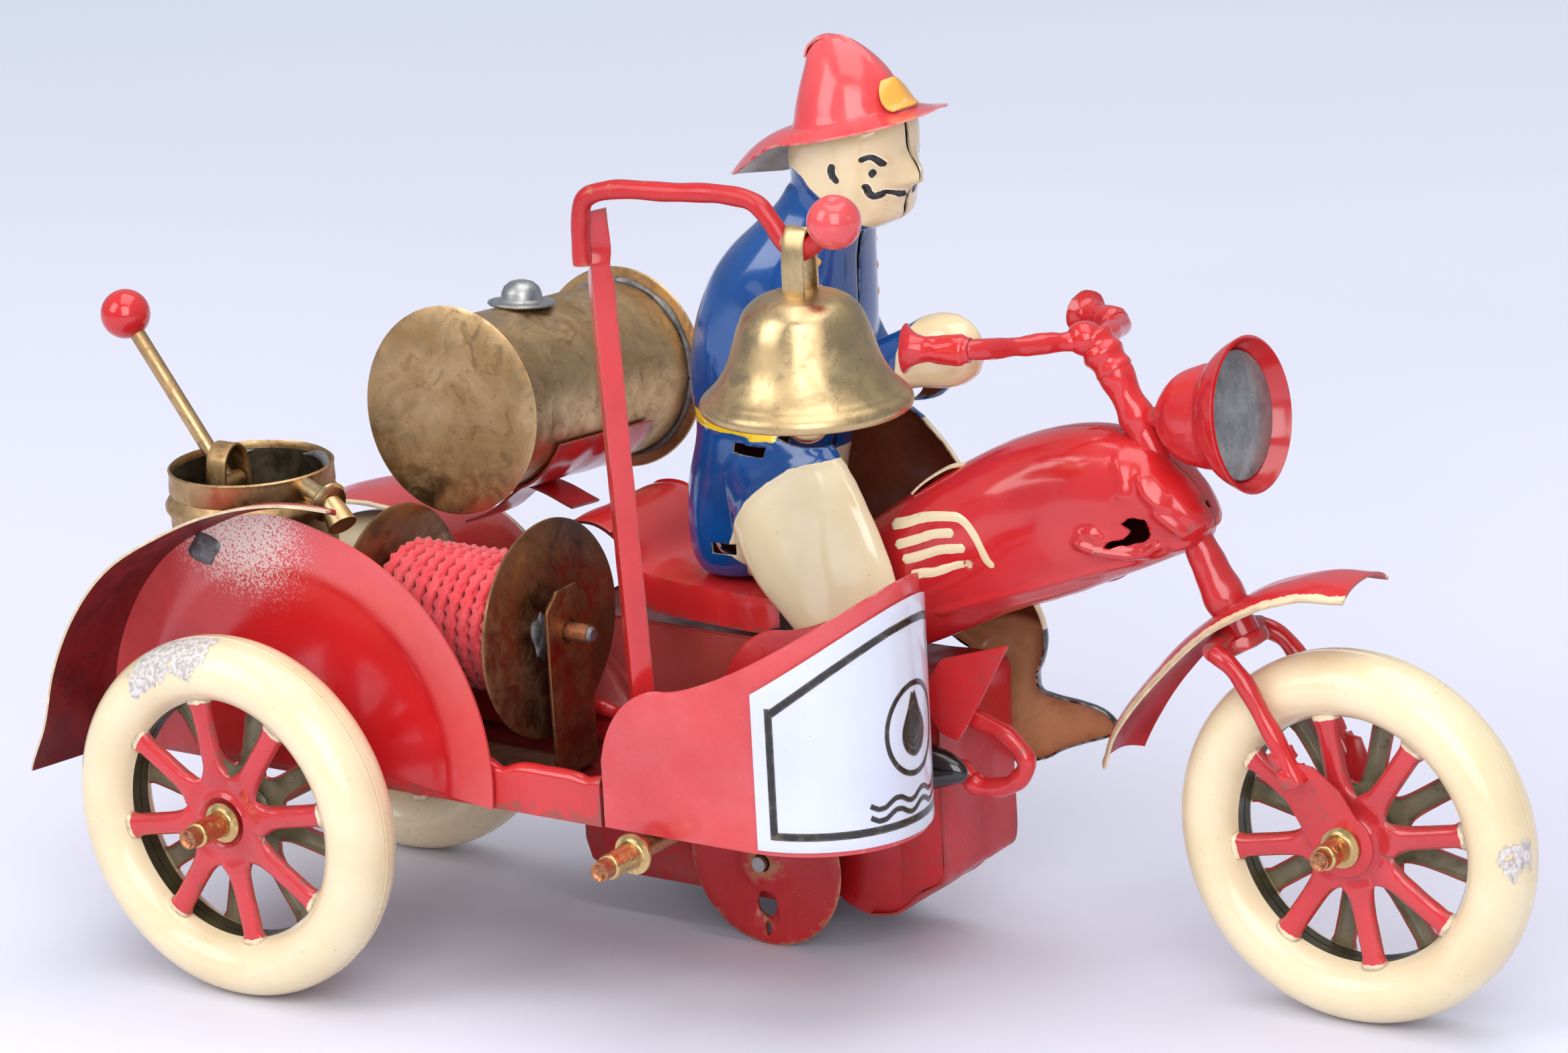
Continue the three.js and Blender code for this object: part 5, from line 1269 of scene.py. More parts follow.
RIDER_PAINT, RIDER_INSIDE = rider_materials()
NOTCH = [(103.8, 101.2), (105.5, 102.9), (109.6, 104.8), (113, 105.6), (117.5, 106), (117.5, 101.4),
         (114.8, 100.6), (111, 100.2), (107, 100.4)]
notch = [(x + 0.3 * noise.noise((x, z, 2.0)), z) for x, z in spline([*NOTCH, NOTCH[0]], 28)[:-1]]
SLOTS = [
    [(92.8, 98.6), (101.4, 99.2), (100.8, 97.2), (92.5, 96.8)],
    [(86.2, 78.4), (91.8, 78.6), (91.4, 76.3), (86.1, 76.1)],
]
riders = {}
for side_name, side, toe, arm in (("right", -1, 143, RIGHT_ARM), ("left", 1, 155, LEFT_ARM)):
    half = rider_half(side_name, side, toe, arm)
    for outline in (notch, *SLOTS):
        cut_by(half, through(outline, side, 1, 24))
    on(half, "root", "rider_paint", f"rider_shell_{side_name}")
    riders[side_name] = half

EAR = [(115.5, 152.8), (114.9, 152.0), (114.9, 151.0), (115.5, 150.1), (116.2, 149.5)]
BROW = [(120.2, 153.6), (121.3, 154.2), (122.1, 154.3), (122.8, 153.7), (123.2, 153.0), (123.5, 152.3)]
MOUSTACHE = [(120.5, 149.2), (121.1, 148.6), (121.3, 147.7), (121.9, 146.9), (122.6, 147.0), (123.2, 147.5)]
LIP_LINE = [(122.9, 147.3), (123.3, 147.5), (123.9, 147.2), (124.4, 146.6), (124.7, 145.9)]
PALE = flat_paint("face_outline", (246, 230, 200), (238, 218, 186), 0.35)
for side_name, side in (("right", -1), ("left", 1)):
    features = [(EAR, lambda t: 1.75 - 0.9 * abs(t - 0.35)), (BROW, 1.1),
                ([(121.5, 151.2), (122.0, 151.2), (122.5, 151.15)], 2.1), (MOUSTACHE, 1.25),
                (LIP_LINE, 0.75)]
    for kind, paint, extra, lift in (("halo", PALE, 0.5, 0.06), ("line", BLACK, 0.0, 0.14)):
        lines = [(points, (lambda t, w=width, e=extra: (w(t) if callable(w) else w) + e))
                 for points, width in features]
        drawn = strokes(f"face_{kind}_{side_name}", lines, riders[side_name], side, paint, lift)
        on(drawn, "root", "rider_paint")
    buttons = [([(x - 0.35, z), (x, z), (x + 0.35, z)], 2.2)
               for x, z in ((110.6, 134.0), (110.8, 128.9), (110.6, 123.8))]
    on(strokes(f"coat_buttons_{side_name}", buttons, riders[side_name], side, ORANGE, 0.2), "root",
       "rider_paint")


# ---------------------------------------------------------------- helmet
def brim_place(c, s, share):
    """A point on the brim at a direction (c, s): it sweeps up in front and curls down behind."""
    rear = smooth(-0.1, -0.85, c)
    outer = (109.9 + (22.2 if c > 0 else 22.0) * c, 15.2 * s)
    root = (112.6 + 10.8 * c, 10.6 * s, 159.8 + 2.4 * c)
    x = root[0] + (outer[0] - root[0]) * share
    y = root[1] + (outer[1] - root[1]) * share
    front = 1.6 * max(0, c) * share ** 2 - 0.9 * share * (1 - rear)
    droop = -(7.6 * share ** 1.3 + 3.0 * share ** 3) * rear - 2.6 * rear * share * s
    sag = -1.6 * share * abs(s) * (1 - rear)
    return x, y, root[2] + front + droop + sag


helmet_form = Form()
crown_stations = [(112.6, 159.8, 10.8, 10.6, 2.4), (112.5, 160.9, 10.3, 10.2, 2.3),
                  (112.2, 163.4, 9.6, 9.4, 2.2), (111.6, 166.6, 8.3, 8.0, 2.0),
                  (110.6, 169.8, 6.4, 6.0, 1.6), (109.4, 172.2, 4.6, 4.0, 1.2),
                  (108.8, 173.6, 3.0, 2.4, 0.8)]
rows = []
angles = np.linspace(0, 2 * math.pi, 120, endpoint=False)
for share in np.linspace(1, 0.02, 24):
    rows.append([brim_place(math.cos(a), math.sin(a), share) for a in angles])
for x0, z0, long, wide, rise in spline(crown_stations, 50):
    row = []
    for a in angles:
        c, s = math.cos(a), math.sin(a)
        front = math.exp(-(s / 0.1) ** 2) * (c > 0) * 0.45
        row.append((x0 + (long + front) * c, wide * s, z0 + rise * c + 0.4 * front))
    rows.append(row)
x0, z0 = 108.8, 173.6
rows.append([(x0 + (x - x0) * 0.72, y * 0.72, z0 + 0.35 + (z - z0) * 0.72) for x, y, z in rows[-1]])
for shrink, lift in ((0.4, 0.55), (0.05, 0.6)):
    rows.append([(x0 + 3.0 * shrink * math.cos(a), 2.4 * shrink * math.sin(a),
                  z0 + lift + 0.8 * shrink * math.cos(a)) for a in angles])
helmet_form.grid(rows, wrap=True)
helmet = build("helmet_pressing", helmet_form, [HELMET_RED, CREAM_INSIDE], inner=(111, 0, 157), thick=0.4,
               sharp=50)
tab = Form()
tab_rows = []
tab_path = [(104.2, 170.6), (104.9, 172.4), (106.2, 173.8), (108.0, 174.55), (109.6, 174.6)]
for i, (x, z) in enumerate(spline(tab_path, 20)):
    half = 1.9 - 0.5 * abs(i / 19 - 0.3)
    tab_rows.append([(x, half * s, z - 0.35 * s * s) for s in np.linspace(-1, 1, 9)])
tab.grid(tab_rows)
on(build("helmet_tab", tab, [HELMET_RED], inner=(109, 0, 168), thick=0.4, sharp=50), "root", "helmet_paint")
on(helmet, "root", "helmet_paint", "helmet")

badge_form = Form()
badge_rows = []
for x, z, half in spline([(126.8, 162.9, 4.4), (125.8, 163.2, 4.7), (124.8, 164.2, 4.8),
                          (124.0, 165.6, 4.4), (123.3, 166.9, 3.4), (122.8, 167.7, 2.0)], 26):
    badge_rows.append([(x - 1.7 * abs(s) ** 1.5, half * s, z - 0.5 * s * s)
                       for s in np.linspace(-1, 1, 19)])
badge_form.grid(badge_rows)
badge = build("helmet_badge_plate", badge_form, [ORANGE], inner=(110, 0, 160), thick=0.45, bevel=0.08)
on(badge, "root", "badge_paint", "helmet_badge")


# ---------------------------------------------------------------- guard plate and crash bar
guard_corners = [(132.8, 55.2), (137.6, 63), (152.5, 67.7), (143.4, 51.6), (140.6, 47.6), (136.8, 48.6)]
guard_outline = []
for (ax, az), (bx, bz) in zip(guard_corners, [*guard_corners[1:], guard_corners[0]]):
    guard_outline += [(ax + (bx - ax) * t, az + (bz - az) * t) for t in (0.04, 0.35, 0.65, 0.96)]
guard = build("guard_sheet", Form().slab(guard_outline, -16.75, -16.1), [RED], bevel=0.14)
on(guard, "root", "red_paint", "guard_plate")
crash_path = spline([(136.8, -13, 52.6), (143, -13.2, 51), (150, -13.6, 48.6), (153.6, -13.8, 44.4),
                     (151, -13.8, 40.2), (145, -13.6, 38.2), (141.6, -13.4, 38.8), (139.6, -13.2, 40.6),
                     (136.8, -13, 41)], 80)
crash = Form().tube(crash_path, lambda t: 1.8 + 0.3 * math.exp(-((t - 0.8) / 0.05) ** 2)
                    + 0.1 * math.sin(t * 50), 18)
on(build("crash_bar_wire", crash, [RED], sharp=60), "root", "red_paint", "crash_bar")


# ---------------------------------------------------------------- sidecar
def nose_plan(start, offset, bends=60):
    flank = 124.0
    half = (TRAY_LEFT - TRAY_RIGHT) / 2 + offset
    reach = NOSE_FRONT - flank + offset
    front = [(flank + reach * math.cos(a), TRAY_MIDDLE + half * math.sin(a))
             for a in np.linspace(-math.pi / 2, math.pi / 2, bends)]
    straight = list(np.linspace(start, flank - 1, 34))
    return ([(x, TRAY_MIDDLE - half) for x in straight] + front
            + [(x, TRAY_MIDDLE + half) for x in reversed(straight)])


def nose_top(x):
    if x < 107:
        return 47 + 19 * math.sqrt(max(0, 1 - ((107 - x) / 15) ** 2))
    return 66 + 21 * ((x - 107) / (NOSE_FRONT - 107)) ** 1.35


plan = nose_plan(92.3, -0.05)
nose_rows = []
for x, y in plan:
    top = nose_top(x)
    nose_rows.append([(x, y, TRAY_Z + 0.1 + (top - TRAY_Z) * s) for s in np.linspace(0, 1, 30)])
nose = build("sidecar_nose_sheet", Form().grid(nose_rows), [RED_HAZE, RED], inner=(115, TRAY_MIDDLE, 55),
             thick=SHEET, bevel=0.1)
displaced(nose, lambda x, y, z: (0, 0.35 * noise.noise((x * 0.05, 2.2, z * 0.05)), 0))
on(nose, "root", "red_paint", "sidecar_nose")


def sign_place(along, up, out):
    """along is -1 to 1 round the nose's front from its right edge; up is 0 to 1 over the height."""
    angle = along * math.radians(84)
    half = (TRAY_LEFT - TRAY_RIGHT) / 2 + out
    reach = NOSE_FRONT - 124 + out
    x, y = 124 + reach * math.cos(angle), TRAY_MIDDLE + half * math.sin(angle)
    low = TRAY_Z + 1.2
    high = nose_top(x) - 5.2 + (x - 128) * 0.06
    return x, y, low + (high - low) * up


sign_rows = [[sign_place(a, u, 0.75) for u in np.linspace(0, 1, 24)] for a in np.linspace(-1, 1, 90)]
sign = build("sign_sheet", Form().grid(sign_rows), [WHITE, WHITE], inner=(120, TRAY_MIDDLE, 60), thick=0.4,
             bevel=0.08)
on(sign, "root", "white_paint", "sign_plate")


SIGN_GIRTH = 36.0              # millimetres round the sign for one unit of its "along" measure
BORDER_WIDTH, BORDER_AT, SIGN_MARGIN = 1.5, 0.9, 4.4


def sign_ribbon(form, path, width, rise=0.82):
    """A painted line on the sign: path holds (along, height in mm above the plate's foot)."""
    points = spline(path, max(12, 8 * len(path))) if len(path) > 2 else np.linspace(*path, 24)
    rows = []
    last = len(points) - 1
    for i, (a, h) in enumerate(points):
        da, dh = points[min(i + 1, last)] - points[max(i - 1, 0)]
        run, climb = da * SIGN_GIRTH, dh
        size = math.hypot(run, climb)
        across = (-climb / size, run / size)
        row = []
        for s in np.linspace(-1, 1, 4):
            aa, hh = a + across[0] * s * width / 2 / SIGN_GIRTH, h + across[1] * s * width / 2
            x, y, _ = sign_place(aa, 0, rise + 0.05 * (1 - s * s))
            row.append((x, y, TRAY_Z + 1.2 + hh))
        rows.append(row)
    inner = [[(x - 0.25 * (x - 120) / 27, y - 0.25 * (y - TRAY_MIDDLE) / 20, z) for x, y, z in row]
             for row in rows]
    form.loft([r + list(reversed(q)) for r, q in zip(rows, inner)])


def sign_height(along):
    x, _, top = sign_place(along, 1, 0)
    return top - (TRAY_Z + 1.2)


sign_paint = Form()
sign_ribbon(sign_paint, [(-BORDER_AT, 3.0), (BORDER_AT, 3.0)], BORDER_WIDTH)
for edge in (-BORDER_AT, BORDER_AT):
    sign_ribbon(sign_paint, [(edge, 2.3), (edge, sign_height(edge) - SIGN_MARGIN)], BORDER_WIDTH)
border_top = [(a, sign_height(a) - SIGN_MARGIN + 2.0 * (1 - (abs(a) / BORDER_AT) ** 2) - 1.2)
              for a in np.linspace(-BORDER_AT, BORDER_AT, 15)]
sign_ribbon(sign_paint, border_top, BORDER_WIDTH)
EMBLEM_R, EMBLEM_Z = 8.4, 20.0
sign_ribbon(sign_paint, [(EMBLEM_R / SIGN_GIRTH * math.cos(t), EMBLEM_Z + EMBLEM_R * math.sin(t))
                         for t in np.linspace(0, 2 * math.pi, 40)], 1.1)
drop = [(0.0, 6.4), (1.6, 3.0), (3.2, 0.2), (3.3, -2.2), (1.7, -4.2), (0.0, -4.8), (-1.7, -4.2),
        (-3.3, -2.2), (-3.2, 0.2), (-1.6, 3.0)]
for shrink in (1.0, 0.72, 0.42, 0.16):
    sign_ribbon(sign_paint, [(u * shrink / SIGN_GIRTH, EMBLEM_Z + 0.2 + v * shrink)
                             for u, v in [*drop, drop[0]]], 1.5)
for base in (7.6, 5.4):
    sign_ribbon(sign_paint, [(u / SIGN_GIRTH, base + 0.7 * math.sin(u * 0.75))
                             for u in np.linspace(-13, 13, 25)], 1.0)
on(build("sign_painting", sign_paint, [BLACK], sharp=60), "root", "white_paint")

tray = Form()
WALL_TOP = 47.2


def wall_rows(wall_y, side):
    """A sheet wall whose top is rolled over, pinched at two dents."""
    rows = []
    for x in np.linspace(-15, 91.6, 140):
        pinch = math.exp(-((x - 69) / 2.6) ** 2) + 0.5 * math.exp(-((x - 88) / 2) ** 2)
        roll = 1.5 - 0.5 * pinch + 0.12 * noise.noise((x * 0.35, 3, side))
        drop_z = -0.9 * pinch
        row = [(x, wall_y, TRAY_Z), (x, wall_y, TRAY_Z + 3), (x, wall_y, TRAY_Z + 6)]
        for a in np.linspace(-0.2, 3.9, 12):
            row.append((x, wall_y + side * (roll * math.cos(a) - roll), WALL_TOP - 1.5 + drop_z
                        + roll * math.sin(a)))
        rows.append(row)
    return rows


for wall_y, side in ((TRAY_RIGHT + 0.3, -1), (TRAY_LEFT - 0.3, 1)):
    tray.grid(wall_rows(wall_y, side))
floor = [(-15, TRAY_RIGHT + 0.2), (91.6, TRAY_RIGHT + 0.2), (91.6, TRAY_RIGHT + 1.1),
         *nose_plan(115, -1.1, 40), (91.6, TRAY_LEFT - 1.1), (91.6, TRAY_LEFT - 0.2),
         (-15, TRAY_LEFT - 0.2)]
end_rows = [[(-14.6, y, TRAY_Z + z) for z in np.linspace(0, 9, 8)]
            for y in np.linspace(TRAY_RIGHT, TRAY_LEFT, 30)]
tray.grid(end_rows)
walls = build("sidecar_tray_walls", tray, [RED], thick=SHEET, centred=True, inner=(40, TRAY_MIDDLE, 44),
              sharp=50)
pan_floor = build("sidecar_floor", Form().slab(floor, TRAY_Z, TRAY_Z + SHEET, "z"), [RED_DARK], bevel=0.12)
on(walls, "root", "red_paint", "sidecar_tray")
on(pan_floor, "root", "red_paint")

PANEL_X, PANEL_Z = 23, 43.4
PANEL_Y = TRAY_RIGHT - GAP
panel_form = Form()
panel_rows = []
for r in [0.5, 6, 12, 18, 24, 28, 31, 33, 34.5, 35.5, 36.5, 38, 40, 42, 44, 44.7]:
    row = []
    for a in np.radians(np.linspace(-7, 187, 110)):
        dish = 0.55 * smooth(36.4, 33.6, r)
        reach = r + 1.2 * smooth(44, 44.7, r) * smooth(1.3, 1.7, a)
        row.append((PANEL_X + reach * math.cos(a), PANEL_Y - 0.2 + dish - 0.3
                    + 0.2 * noise.noise((r * 0.1, a * 2, 1)),
                    PANEL_Z + reach * math.sin(a)))
    panel_rows.append(row)
panel_form.grid(panel_rows)


def panel_material():
    """Glossy red in the dish, a dusty bloom on the band round it, and pale overspray at the top."""
    s = Shade("panel_enamel", 0.2, coat=0.3, coat_roughness=0.1)
    paint = s.mottle(26, colour(206, 30, 34), colour(188, 22, 28))
    bloom = s.math("MULTIPLY", s.zone("band", 0.2, 6, 1.2), s.step(s.noise(20, 4), 0.3, 0.7, 0.25, 0.5))
    paint = s.mix(bloom, paint, colour(226, 110, 112))
    spray = s.step(s.attribute("spray"), 0.0, 1.0)
    dots = s.step(s.math("ADD", s.noise(0.45, 2, 0.6), s.math("MULTIPLY", spray, 0.22)), 0.6, 0.68)
    paint = s.mix(s.math("MULTIPLY", dots, spray), paint, colour(236, 214, 204))
    s.set("Base Color", paint)
    s.set("Roughness", s.math("ADD", s.step(s.noise(7, 5, 0.65, 0.4), 0.3, 0.75, 0.14, 0.3),
                              s.math("MULTIPLY", spray, 0.2)))
    s.bump(s.math("ADD", s.noise(9, 2), s.math("MULTIPLY", dots, 0.1)), 0.3, 0.35)
    return s.material


panel = build("wheel_panel_sheet", panel_form, [panel_material(), RED_DARK],
              inner=(PANEL_X, -30, PANEL_Z + 10), thick=SHEET, sharp=50)
mark(panel, "band", lambda x, y, z: math.hypot(x - PANEL_X, z - PANEL_Z) - 35.2)
mark(panel, "spray", lambda x, y, z: smooth(22, 3, math.hypot((x - 12) * 0.8, z - 86)) * 0.9)
on(panel, "root", "red_paint", "wheel_panel")
blotch = Form()
blotch.loft([[(x + long * math.cos(a) + lobe * math.sin(3 * a), PANEL_Y - 0.55 - 0.9 * out,
               80.6 + high * math.sin(a))
              for a in np.linspace(0, 6.1, 26)]
             for out, x, long, lobe, high in ((0.0, 3.5, 3.6, 0.8, 3.2), (0.6, 3.5, 3.0, 0.8, 2.5),
                                              (1.0, 3.4, 1.6, 0.5, 1.3))])
on(build("panel_solder", blotch, [SOLDER], sharp=60), "root", "red_paint")

FENDER_ROWS = [(187, 46.2, 52.7, 17.6), (176, 46.2, 48, 17.8), (162, 46.2, 46.8, 17.8),
               (146, 46.2, 46.6, 17.8), (130, 46.2, 46.8, 17.6), (114, 46.4, 47.2, 16.6),
               (100, 47.4, 49, 12.6), (87, 48.6, 50.4, 8), (75, 50.2, 51.2, 3.6)]
side_fender = Form()
side_rows = []
for degrees, inner_r, outer_r, width in spline(FENDER_ROWS, 90):
    a = math.radians(degrees)
    row = []
    for s in np.linspace(0, 1, 15):
        ripple = 0.25 * noise.noise((degrees * 0.05, s * 2, 4.4))
        r = inner_r + (outer_r - inner_r) * s + 0.2 - 0.9 * smooth(0.12, 0, s) + ripple
        row.append((PANEL_X + r * math.cos(a), PANEL_Y - GAP - width * s, PANEL_Z + r * math.sin(a)))
    side_rows.append(row)
side_fender.grid(side_rows)
SIDE_FENDER = fender_paint("sidecar_fender_enamel")
guard_sheet = build("sidecar_mudguard", side_fender, [SIDE_FENDER, RED_DARK],
                    inner=(PANEL_X, -70, PANEL_Z), thick=SHEET)
fender_widths = [(math.radians(d), w) for d, _, _, w in spline(FENDER_ROWS, 90)]


def fender_edge(x, y, z):
    angle = math.atan2(z - PANEL_Z, x - PANEL_X) % (2 * math.pi)
    width = min(fender_widths, key=lambda p: abs(p[0] - angle))[1]
    return 1.4 - (width - (PANEL_Y - GAP - y))


mark(guard_sheet, "edge_line", fender_edge)
on(guard_sheet, "root", "red_paint", "sidecar_fender")


# ---------------------------------------------------------------- bell and its post
POST_FOOT_X, POST_TOP = 99, 153
post_form = Form()
post_rows = []
for t in np.linspace(0, 1, 90):
    z = TRAY_Z + 1.1 + (POST_TOP - TRAY_Z - 1.1) * t
    x = POST_FOOT_X - 5 * t
    pinch = math.exp(-((z - 143) / 1.8) ** 2)
    flare = smooth(146, 152, z)
    row = []
    for s in np.linspace(-1, 1, 17):
        fold = abs(s) ** 1.1
        half = 2.9 - 0.5 * pinch - 0.2 * flare + 0.1 * noise.noise((z * 0.2, s, 2))
        row.append((x + half * s + 0.4 * pinch, BELL_Y - 0.2 + 2.6 * fold - 0.6 * pinch,
                    z + 0.5 * flare * s))
    post_rows.append(row)
post_form.grid(post_rows)
post = build("bell_post_strip", post_form, [RED], inner=(96, -30, 100), thick=SHEET, sharp=35)
foot = Form().slab([(POST_FOOT_X - 5, BELL_Y + 0.5), (POST_FOOT_X + 5, BELL_Y + 0.5),
                    (POST_FOOT_X + 5, BELL_Y + 9), (POST_FOOT_X - 5, BELL_Y + 9)], TRAY_Z + 0.8,
                   TRAY_Z + 1.6, "z")
on(post, "root", "red_paint", "bell_post")
on(build("bell_post_foot", foot, [RED], bevel=0.15), "root", "red_paint")

ARM_PATH = [(94.2, BELL_Y - 2.4, 144), (94.3, BELL_Y - 2.4, 151), (95.4, BELL_Y - 2.2, 156),
            (100.4, BELL_Y - 1.6, 158.0), (112, BELL_Y, 158.3), (124, BELL_Y, 158.9),
            (130.4, BELL_Y, 157.9), (133.8, BELL_Y, 154.6), (136.4, BELL_Y, 151.2), (139, BELL_Y, 150),
            (142, BELL_Y, 151.6), (145.4, BELL_Y, 154.8)]
arm_form = Form().tube(spline(ARM_PATH, 130), lambda t: 1.72 + 0.05 * math.sin(t * 70), 20)
on(build("bell_wire", arm_form, [WORN_RED], sharp=60), "root", "red_paint", "bell_arm")
bead = Form().ball((146.6, BELL_Y, 156), 4.8, 48, 0, 0.8)
on(build("bell_wire_ball", bead, [HELMET_RED], sharp=60), "root", "red_paint")

bell_outer = spline([(0.6, 142.9), (4.4, 142.8), (7.6, 142.0), (9.9, 140.2), (11.4, 137.4), (12.5, 134),
                     (13.4, 131.2), (14.4, 129), (15.9, 126.8), (17.3, 125.3), (18.5, 124.2),
                     (18.85, 123.2), (18.6, 122.3), (18.1, 122)], 70)
bell_inner = [(max(r - 0.9, 0.6), z - 0.8 if r < 8 else z) for r, z in bell_outer[::-1] if z > 122.3]
bell_profile = [(r + 0.1 * math.exp(-((z - 125.6) / 0.25) ** 2), z) for r, z in bell_outer]
bell = build("bell_spinning", Form().turned([*bell_profile, *bell_inner], (BELL_X, BELL_Y, 0), (0, 0, 1),
                                            144), [BELL_BRASS],
             sharp=55)
on(bell, "bell", "bell_brass")
strap_rows = []
loop_path = [(-3.6, 142.2), (-3.7, 145), (-3.6, 148.4), (-2.8, 151.4), (-1.3, 153.7), (0, 154.4),
             (1.3, 153.7), (2.8, 151.4), (3.6, 148.4), (3.7, 145), (3.6, 142.2)]
hanger = Form()
for y_out, z in spline(loop_path, 60):
    strap_rows.append([(BELL_X + 2.2 * s, BELL_Y + y_out * 0.62, z) for s in np.linspace(-1, 1, 5)])
hanger.grid(strap_rows)
on(build("bell_hanger", hanger, [BELL_BRASS], thick=0.6, centred=True, inner=(BELL_X, BELL_Y, 146),
         bevel=0.1), "bell", "bell_brass",
   "bell_cup")
clapper = Form().tube([(BELL_X, BELL_Y, 121), (BELL_X, BELL_Y, 139.6)], 0.7, 14)
clapper.ball((BELL_X, BELL_Y, 119.6), 4.0, 44)
on(build("bell_clapper", clapper, [BELL_BRASS], sharp=60), "clapper", "bell_brass", "clapper")


# ---------------------------------------------------------------- hose reel
FLANGE_FRONT_X, FLANGE_REAR_X = 67.6, 32.6
for name, x, radius in (("front", FLANGE_FRONT_X, 20.8), ("rear", FLANGE_REAR_X, 19.5)):
    profile = [(2.15, -0.45), (2.15, 0.45), (5, 0.5), (12, 0.42), (radius - 0.5, 0.5), (radius, 0.25),
               (radius, -0.25), (radius - 0.5, -0.45), (12, -0.5), (5, -0.42)]
    disc = build(f"reel_disc_{name}", Form().turned(profile, (x, REEL_Y, REEL_Z), (1, 0, 0), 120),
                 [BRONZE], sharp=40)
    displaced(disc, lambda px, py, pz: (0.5 * noise.noise((py * 0.05, pz * 0.05, x)), 0, 0))
    on(disc, "reel", "reel_bronze", f"reel_flange_{name}")
spindle = Form().tube([(23.8, REEL_Y, REEL_Z), (50, REEL_Y, REEL_Z), (77.2, REEL_Y, REEL_Z)], 1.85, 24)
spindle.loft([[(x, REEL_Y + r * math.cos(a), REEL_Z + r * math.sin(a)) for a in np.linspace(0, 6.2, 22)]
              for x, r in ((76.6, 1.85), (77.4, 1.5), (77.9, 1.1))], 1)
on(build("reel_spindle", spindle, [COPPER, SOLDER], sharp=45), "reel", "steel", "reel_axle")
solder = Form()
solder_rings = []
for h, size in ((0.0, 1.0), (0.5, 0.86), (0.9, 0.5), (1.05, 0.1)):
    solder_rings.append([(FLANGE_FRONT_X + 0.4 + h,
                          REEL_Y - 3.6 + size * (2.6 + 0.7 * math.sin(3 * a)) * math.cos(a),
                          REEL_Z - 0.6 + size * (4.8 + 0.8 * math.cos(5 * a)) * math.sin(a))
                         for a in np.linspace(0, 6.1, 34)])
solder.loft(solder_rings)
on(build("reel_solder", solder, [SOLDER], sharp=60), "reel", "reel_bronze")


ROPE_LAYERS, ROPE_TURNS = (9.4, 12.0), 10.5
ROPE_STRANDS, ROPE_LAY = 3, 5.2


def rope_form():
    """Two layers of three-strand rope wound round the reel's core."""
    form = Form()
    low, high = FLANGE_REAR_X + 2.4, FLANGE_FRONT_X - 2.4
    path = []
    for layer, radius in enumerate(ROPE_LAYERS):
        count = 340
        for i in range(count):
            t = i / (count - 1)
            x = low + (high - low) * (t if layer == 0 else 1 - t)
            a = 2 * math.pi * ROPE_TURNS * (t + layer)
            r = radius + 0.12 * noise.noise((x * 0.3, a * 0.4, layer))
            path.append(Vector((x, REEL_Y + r * math.cos(a), REEL_Z + r * math.sin(a))))
    lengths = [0.0]
    for a, b in zip(path, path[1:]):
        lengths.append(lengths[-1] + (b - a).length)
    for strand in range(ROPE_STRANDS):
        line = []
        for i, point in enumerate(path):
            along = (path[min(i + 1, len(path) - 1)] - path[max(i - 1, 0)]).normalized()
            out = (point - Vector((point.x, REEL_Y, REEL_Z))).normalized()
            side = along.cross(out)
            twist = 2 * math.pi * (lengths[i] / ROPE_LAY + strand / ROPE_STRANDS)
            line.append(point + (out * math.cos(twist) + side * math.sin(twist)) * 0.72)
        form.tube(line, 0.95, 8)
    return form


rope = build("reel_rope", rope_form(), [ROPE], sharp=80)
core = build("reel_core", Form().turned([(2.3, FLANGE_REAR_X + 0.9), (7.9, FLANGE_REAR_X + 0.9),
                                         (7.9, FLANGE_FRONT_X - 0.9), (2.3, FLANGE_FRONT_X - 0.9)],
                                        (0, REEL_Y, REEL_Z), (1, 0, 0), 60), [BRONZE])
on(rope, "reel", "rope", "hose_rope")
on(core, "reel", "reel_bronze")

bracket_path = [(28, 75.4), (28, 60), (28, 41), (28.4, 39.6), (30, 39.4), (50, 39.4), (70, 39.4),
                (71.7, 39.7), (72, 41), (72, 60), (72, 75.8)]
bracket_rows = []
for x, z in spline(bracket_path, 130):
    half = 6.5 - 3.4 * smooth(72.0, 76.0, z)
    bracket_rows.append([(x, REEL_Y + half * s, z) for s in np.linspace(-1, 1, 9)])
bracket = build("reel_strip", Form().grid(bracket_rows), [BRONZE], thick=0.7, centred=True,
                inner=(50, REEL_Y, 60), bevel=0.12)
bore = Form().turned([(0, 24), (2.3, 24), (2.3, 76), (0, 76)], (0, REEL_Y, REEL_Z), (1, 0, 0), 28,
                     closed=False)
cut_by(bracket, bore)
on(bracket, "root", "reel_bronze", "reel_bracket")


# ---------------------------------------------------------------- pump can and its lever
can_profile = [(0.8, 39.2), (CAN_R - 1, 39.2), (CAN_R - 0.2, 39.8), (CAN_R, 41), (CAN_R, 83),
               (CAN_R + 0.2, 83.8), (CAN_R + 0.9, 84.9), (CAN_R + 0.9, 85.7), (CAN_R + 0.2, 86.9),
               (CAN_R - 0.2, 87.6), (CAN_R + 0.1, 88.3), (CAN_R, 91.4), (CAN_R + 0.15, 92.2),
               (CAN_R - 0.2, 92.5)]
can_inner = [(max(r - 0.5, 0.8), max(z, 39.7)) for r, z in can_profile[::-1][1:]]
can_form = Form().turned([*can_profile, *can_inner], (CAN_X, CAN_Y, 0), (0, 0, 1), 120)
can = build("can_sheet", can_form, [AGED_BRASS], sharp=50)
displaced(can, lambda x, y, z: (0.18 * noise.noise((x * 0.1, y * 0.1, z * 0.1)),) * 2 + (0,))
on(can, "root", "aged_brass", "can")
